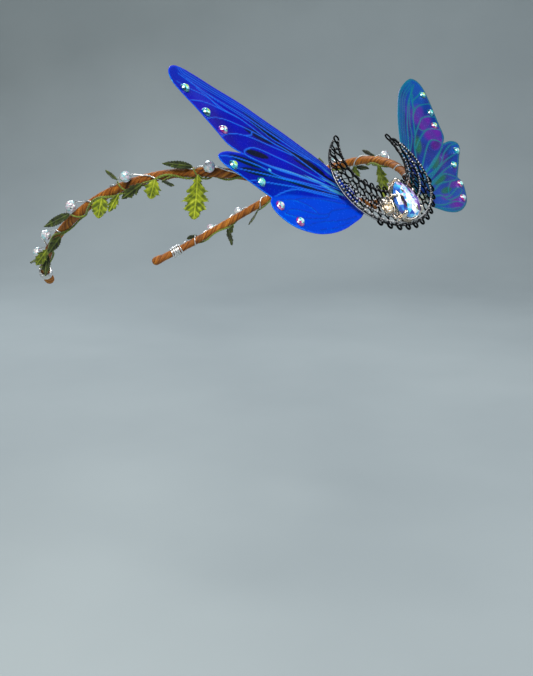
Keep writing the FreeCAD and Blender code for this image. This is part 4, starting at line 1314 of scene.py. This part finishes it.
KEPT_NODES = {"vine_front_core": "core_wire", "vine_right_core": "core_wire", "vine_left_core": "core_wire",
              "wing_right_glue": "glue", "wing_left_glue": "glue"}
for kept_name, kept_slot in KEPT_NODES.items():
    kept = frame["nodes"][kept_name]
    kept.data.materials.clear()
    kept.data.materials.append(FINISHES[kept_slot])


# ---------------------------------------------------------- floor, light, camera
def build_floor():
    """Pale floor that sweeps up into a backdrop."""
    level = -0.235
    profile = [(-3.0, 0.0), (1.1, 0.0)]
    profile += [(1.1 + 0.6 * math.sin(t), 0.6 - 0.6 * math.cos(t)) for t in np.linspace(0.1, math.pi / 2, 14)]
    profile += [(1.7, 3.2)]
    away = Vector((0.7969, 0.567, 0)).normalized()
    across = Vector((away.y, -away.x, 0))
    points = [tuple(away * d + across * w + UP * (level + h)) for d, h in profile for w in (-9.0, 9.0)]
    faces = [(2 * i, 2 * i + 1, 2 * i + 3, 2 * i + 2) for i in range(len(profile) - 1)]
    mesh = bpy.data.meshes.new("studio_floor")
    mesh.from_pydata(points, [], faces)
    mesh.polygons.foreach_set("use_smooth", [True] * len(faces))
    mesh.materials.append(floor_paint())
    floor = bpy.data.objects.new("studio_floor", mesh)
    bpy.context.scene.collection.objects.link(floor)


def add_light(name, place, power, size, tint):
    """A soft square light aimed at the circlet's front."""
    data = bpy.data.lights.new(name, "AREA")
    data.energy = power
    data.size = size
    data.color = colour(tint)[:3]
    lamp = bpy.data.objects.new(name, data)
    aim = Vector((0, -0.06, 0.0)) - Vector(place)
    lamp.location = place
    lamp.rotation_euler = aim.to_track_quat("-Z", "Y").to_euler()
    bpy.context.scene.collection.objects.link(lamp)


LENS = 55.917
CAMERA_PLACE = (-0.4205, -0.3262, 0.0341)
CAMERA_RIGHT = (0.5797, -0.8148, 0.0)
CAMERA_AHEAD = (0.7969, 0.567, -0.2086)


def build_studio():
    """Soft studio light and the camera."""
    build_floor()
    add_light("key_soft", (-1.0, -0.5, 1.1), 27.0, 0.9, "#FFFAF2")
    add_light("fill_soft", (0.5, -1.4, 0.7), 12.0, 1.0, "#E8F0FF")
    add_light("rim_soft", (0.6, 0.9, 0.9), 11.0, 0.7, "#F4F8FF")
    world = bpy.data.worlds.new("studio_air")
    world.use_nodes = True
    tree = world.node_tree
    tree.nodes.clear()
    sky = node(tree, "Background", {"Color": colour("#AEBAC2"), "Strength": 0.35})
    node(tree, "OutputWorld", {"Surface": sky.outputs[0]})
    bpy.context.scene.world = world
    lens = bpy.data.cameras.new("camera")
    lens.lens = LENS
    lens.sensor_width = 36.0
    camera = bpy.data.objects.new("camera", lens)
    right = Vector(CAMERA_RIGHT).normalized()
    forward = Vector(CAMERA_AHEAD).normalized()
    top = right.cross(forward)
    matrix = Matrix((right, top, -forward)).transposed().to_4x4()
    matrix.translation = Vector(CAMERA_PLACE)
    camera.matrix_world = matrix
    bpy.context.scene.collection.objects.link(camera)
    bpy.context.scene.camera = camera
    bpy.context.scene.view_settings.view_transform = "Standard"


build_studio()
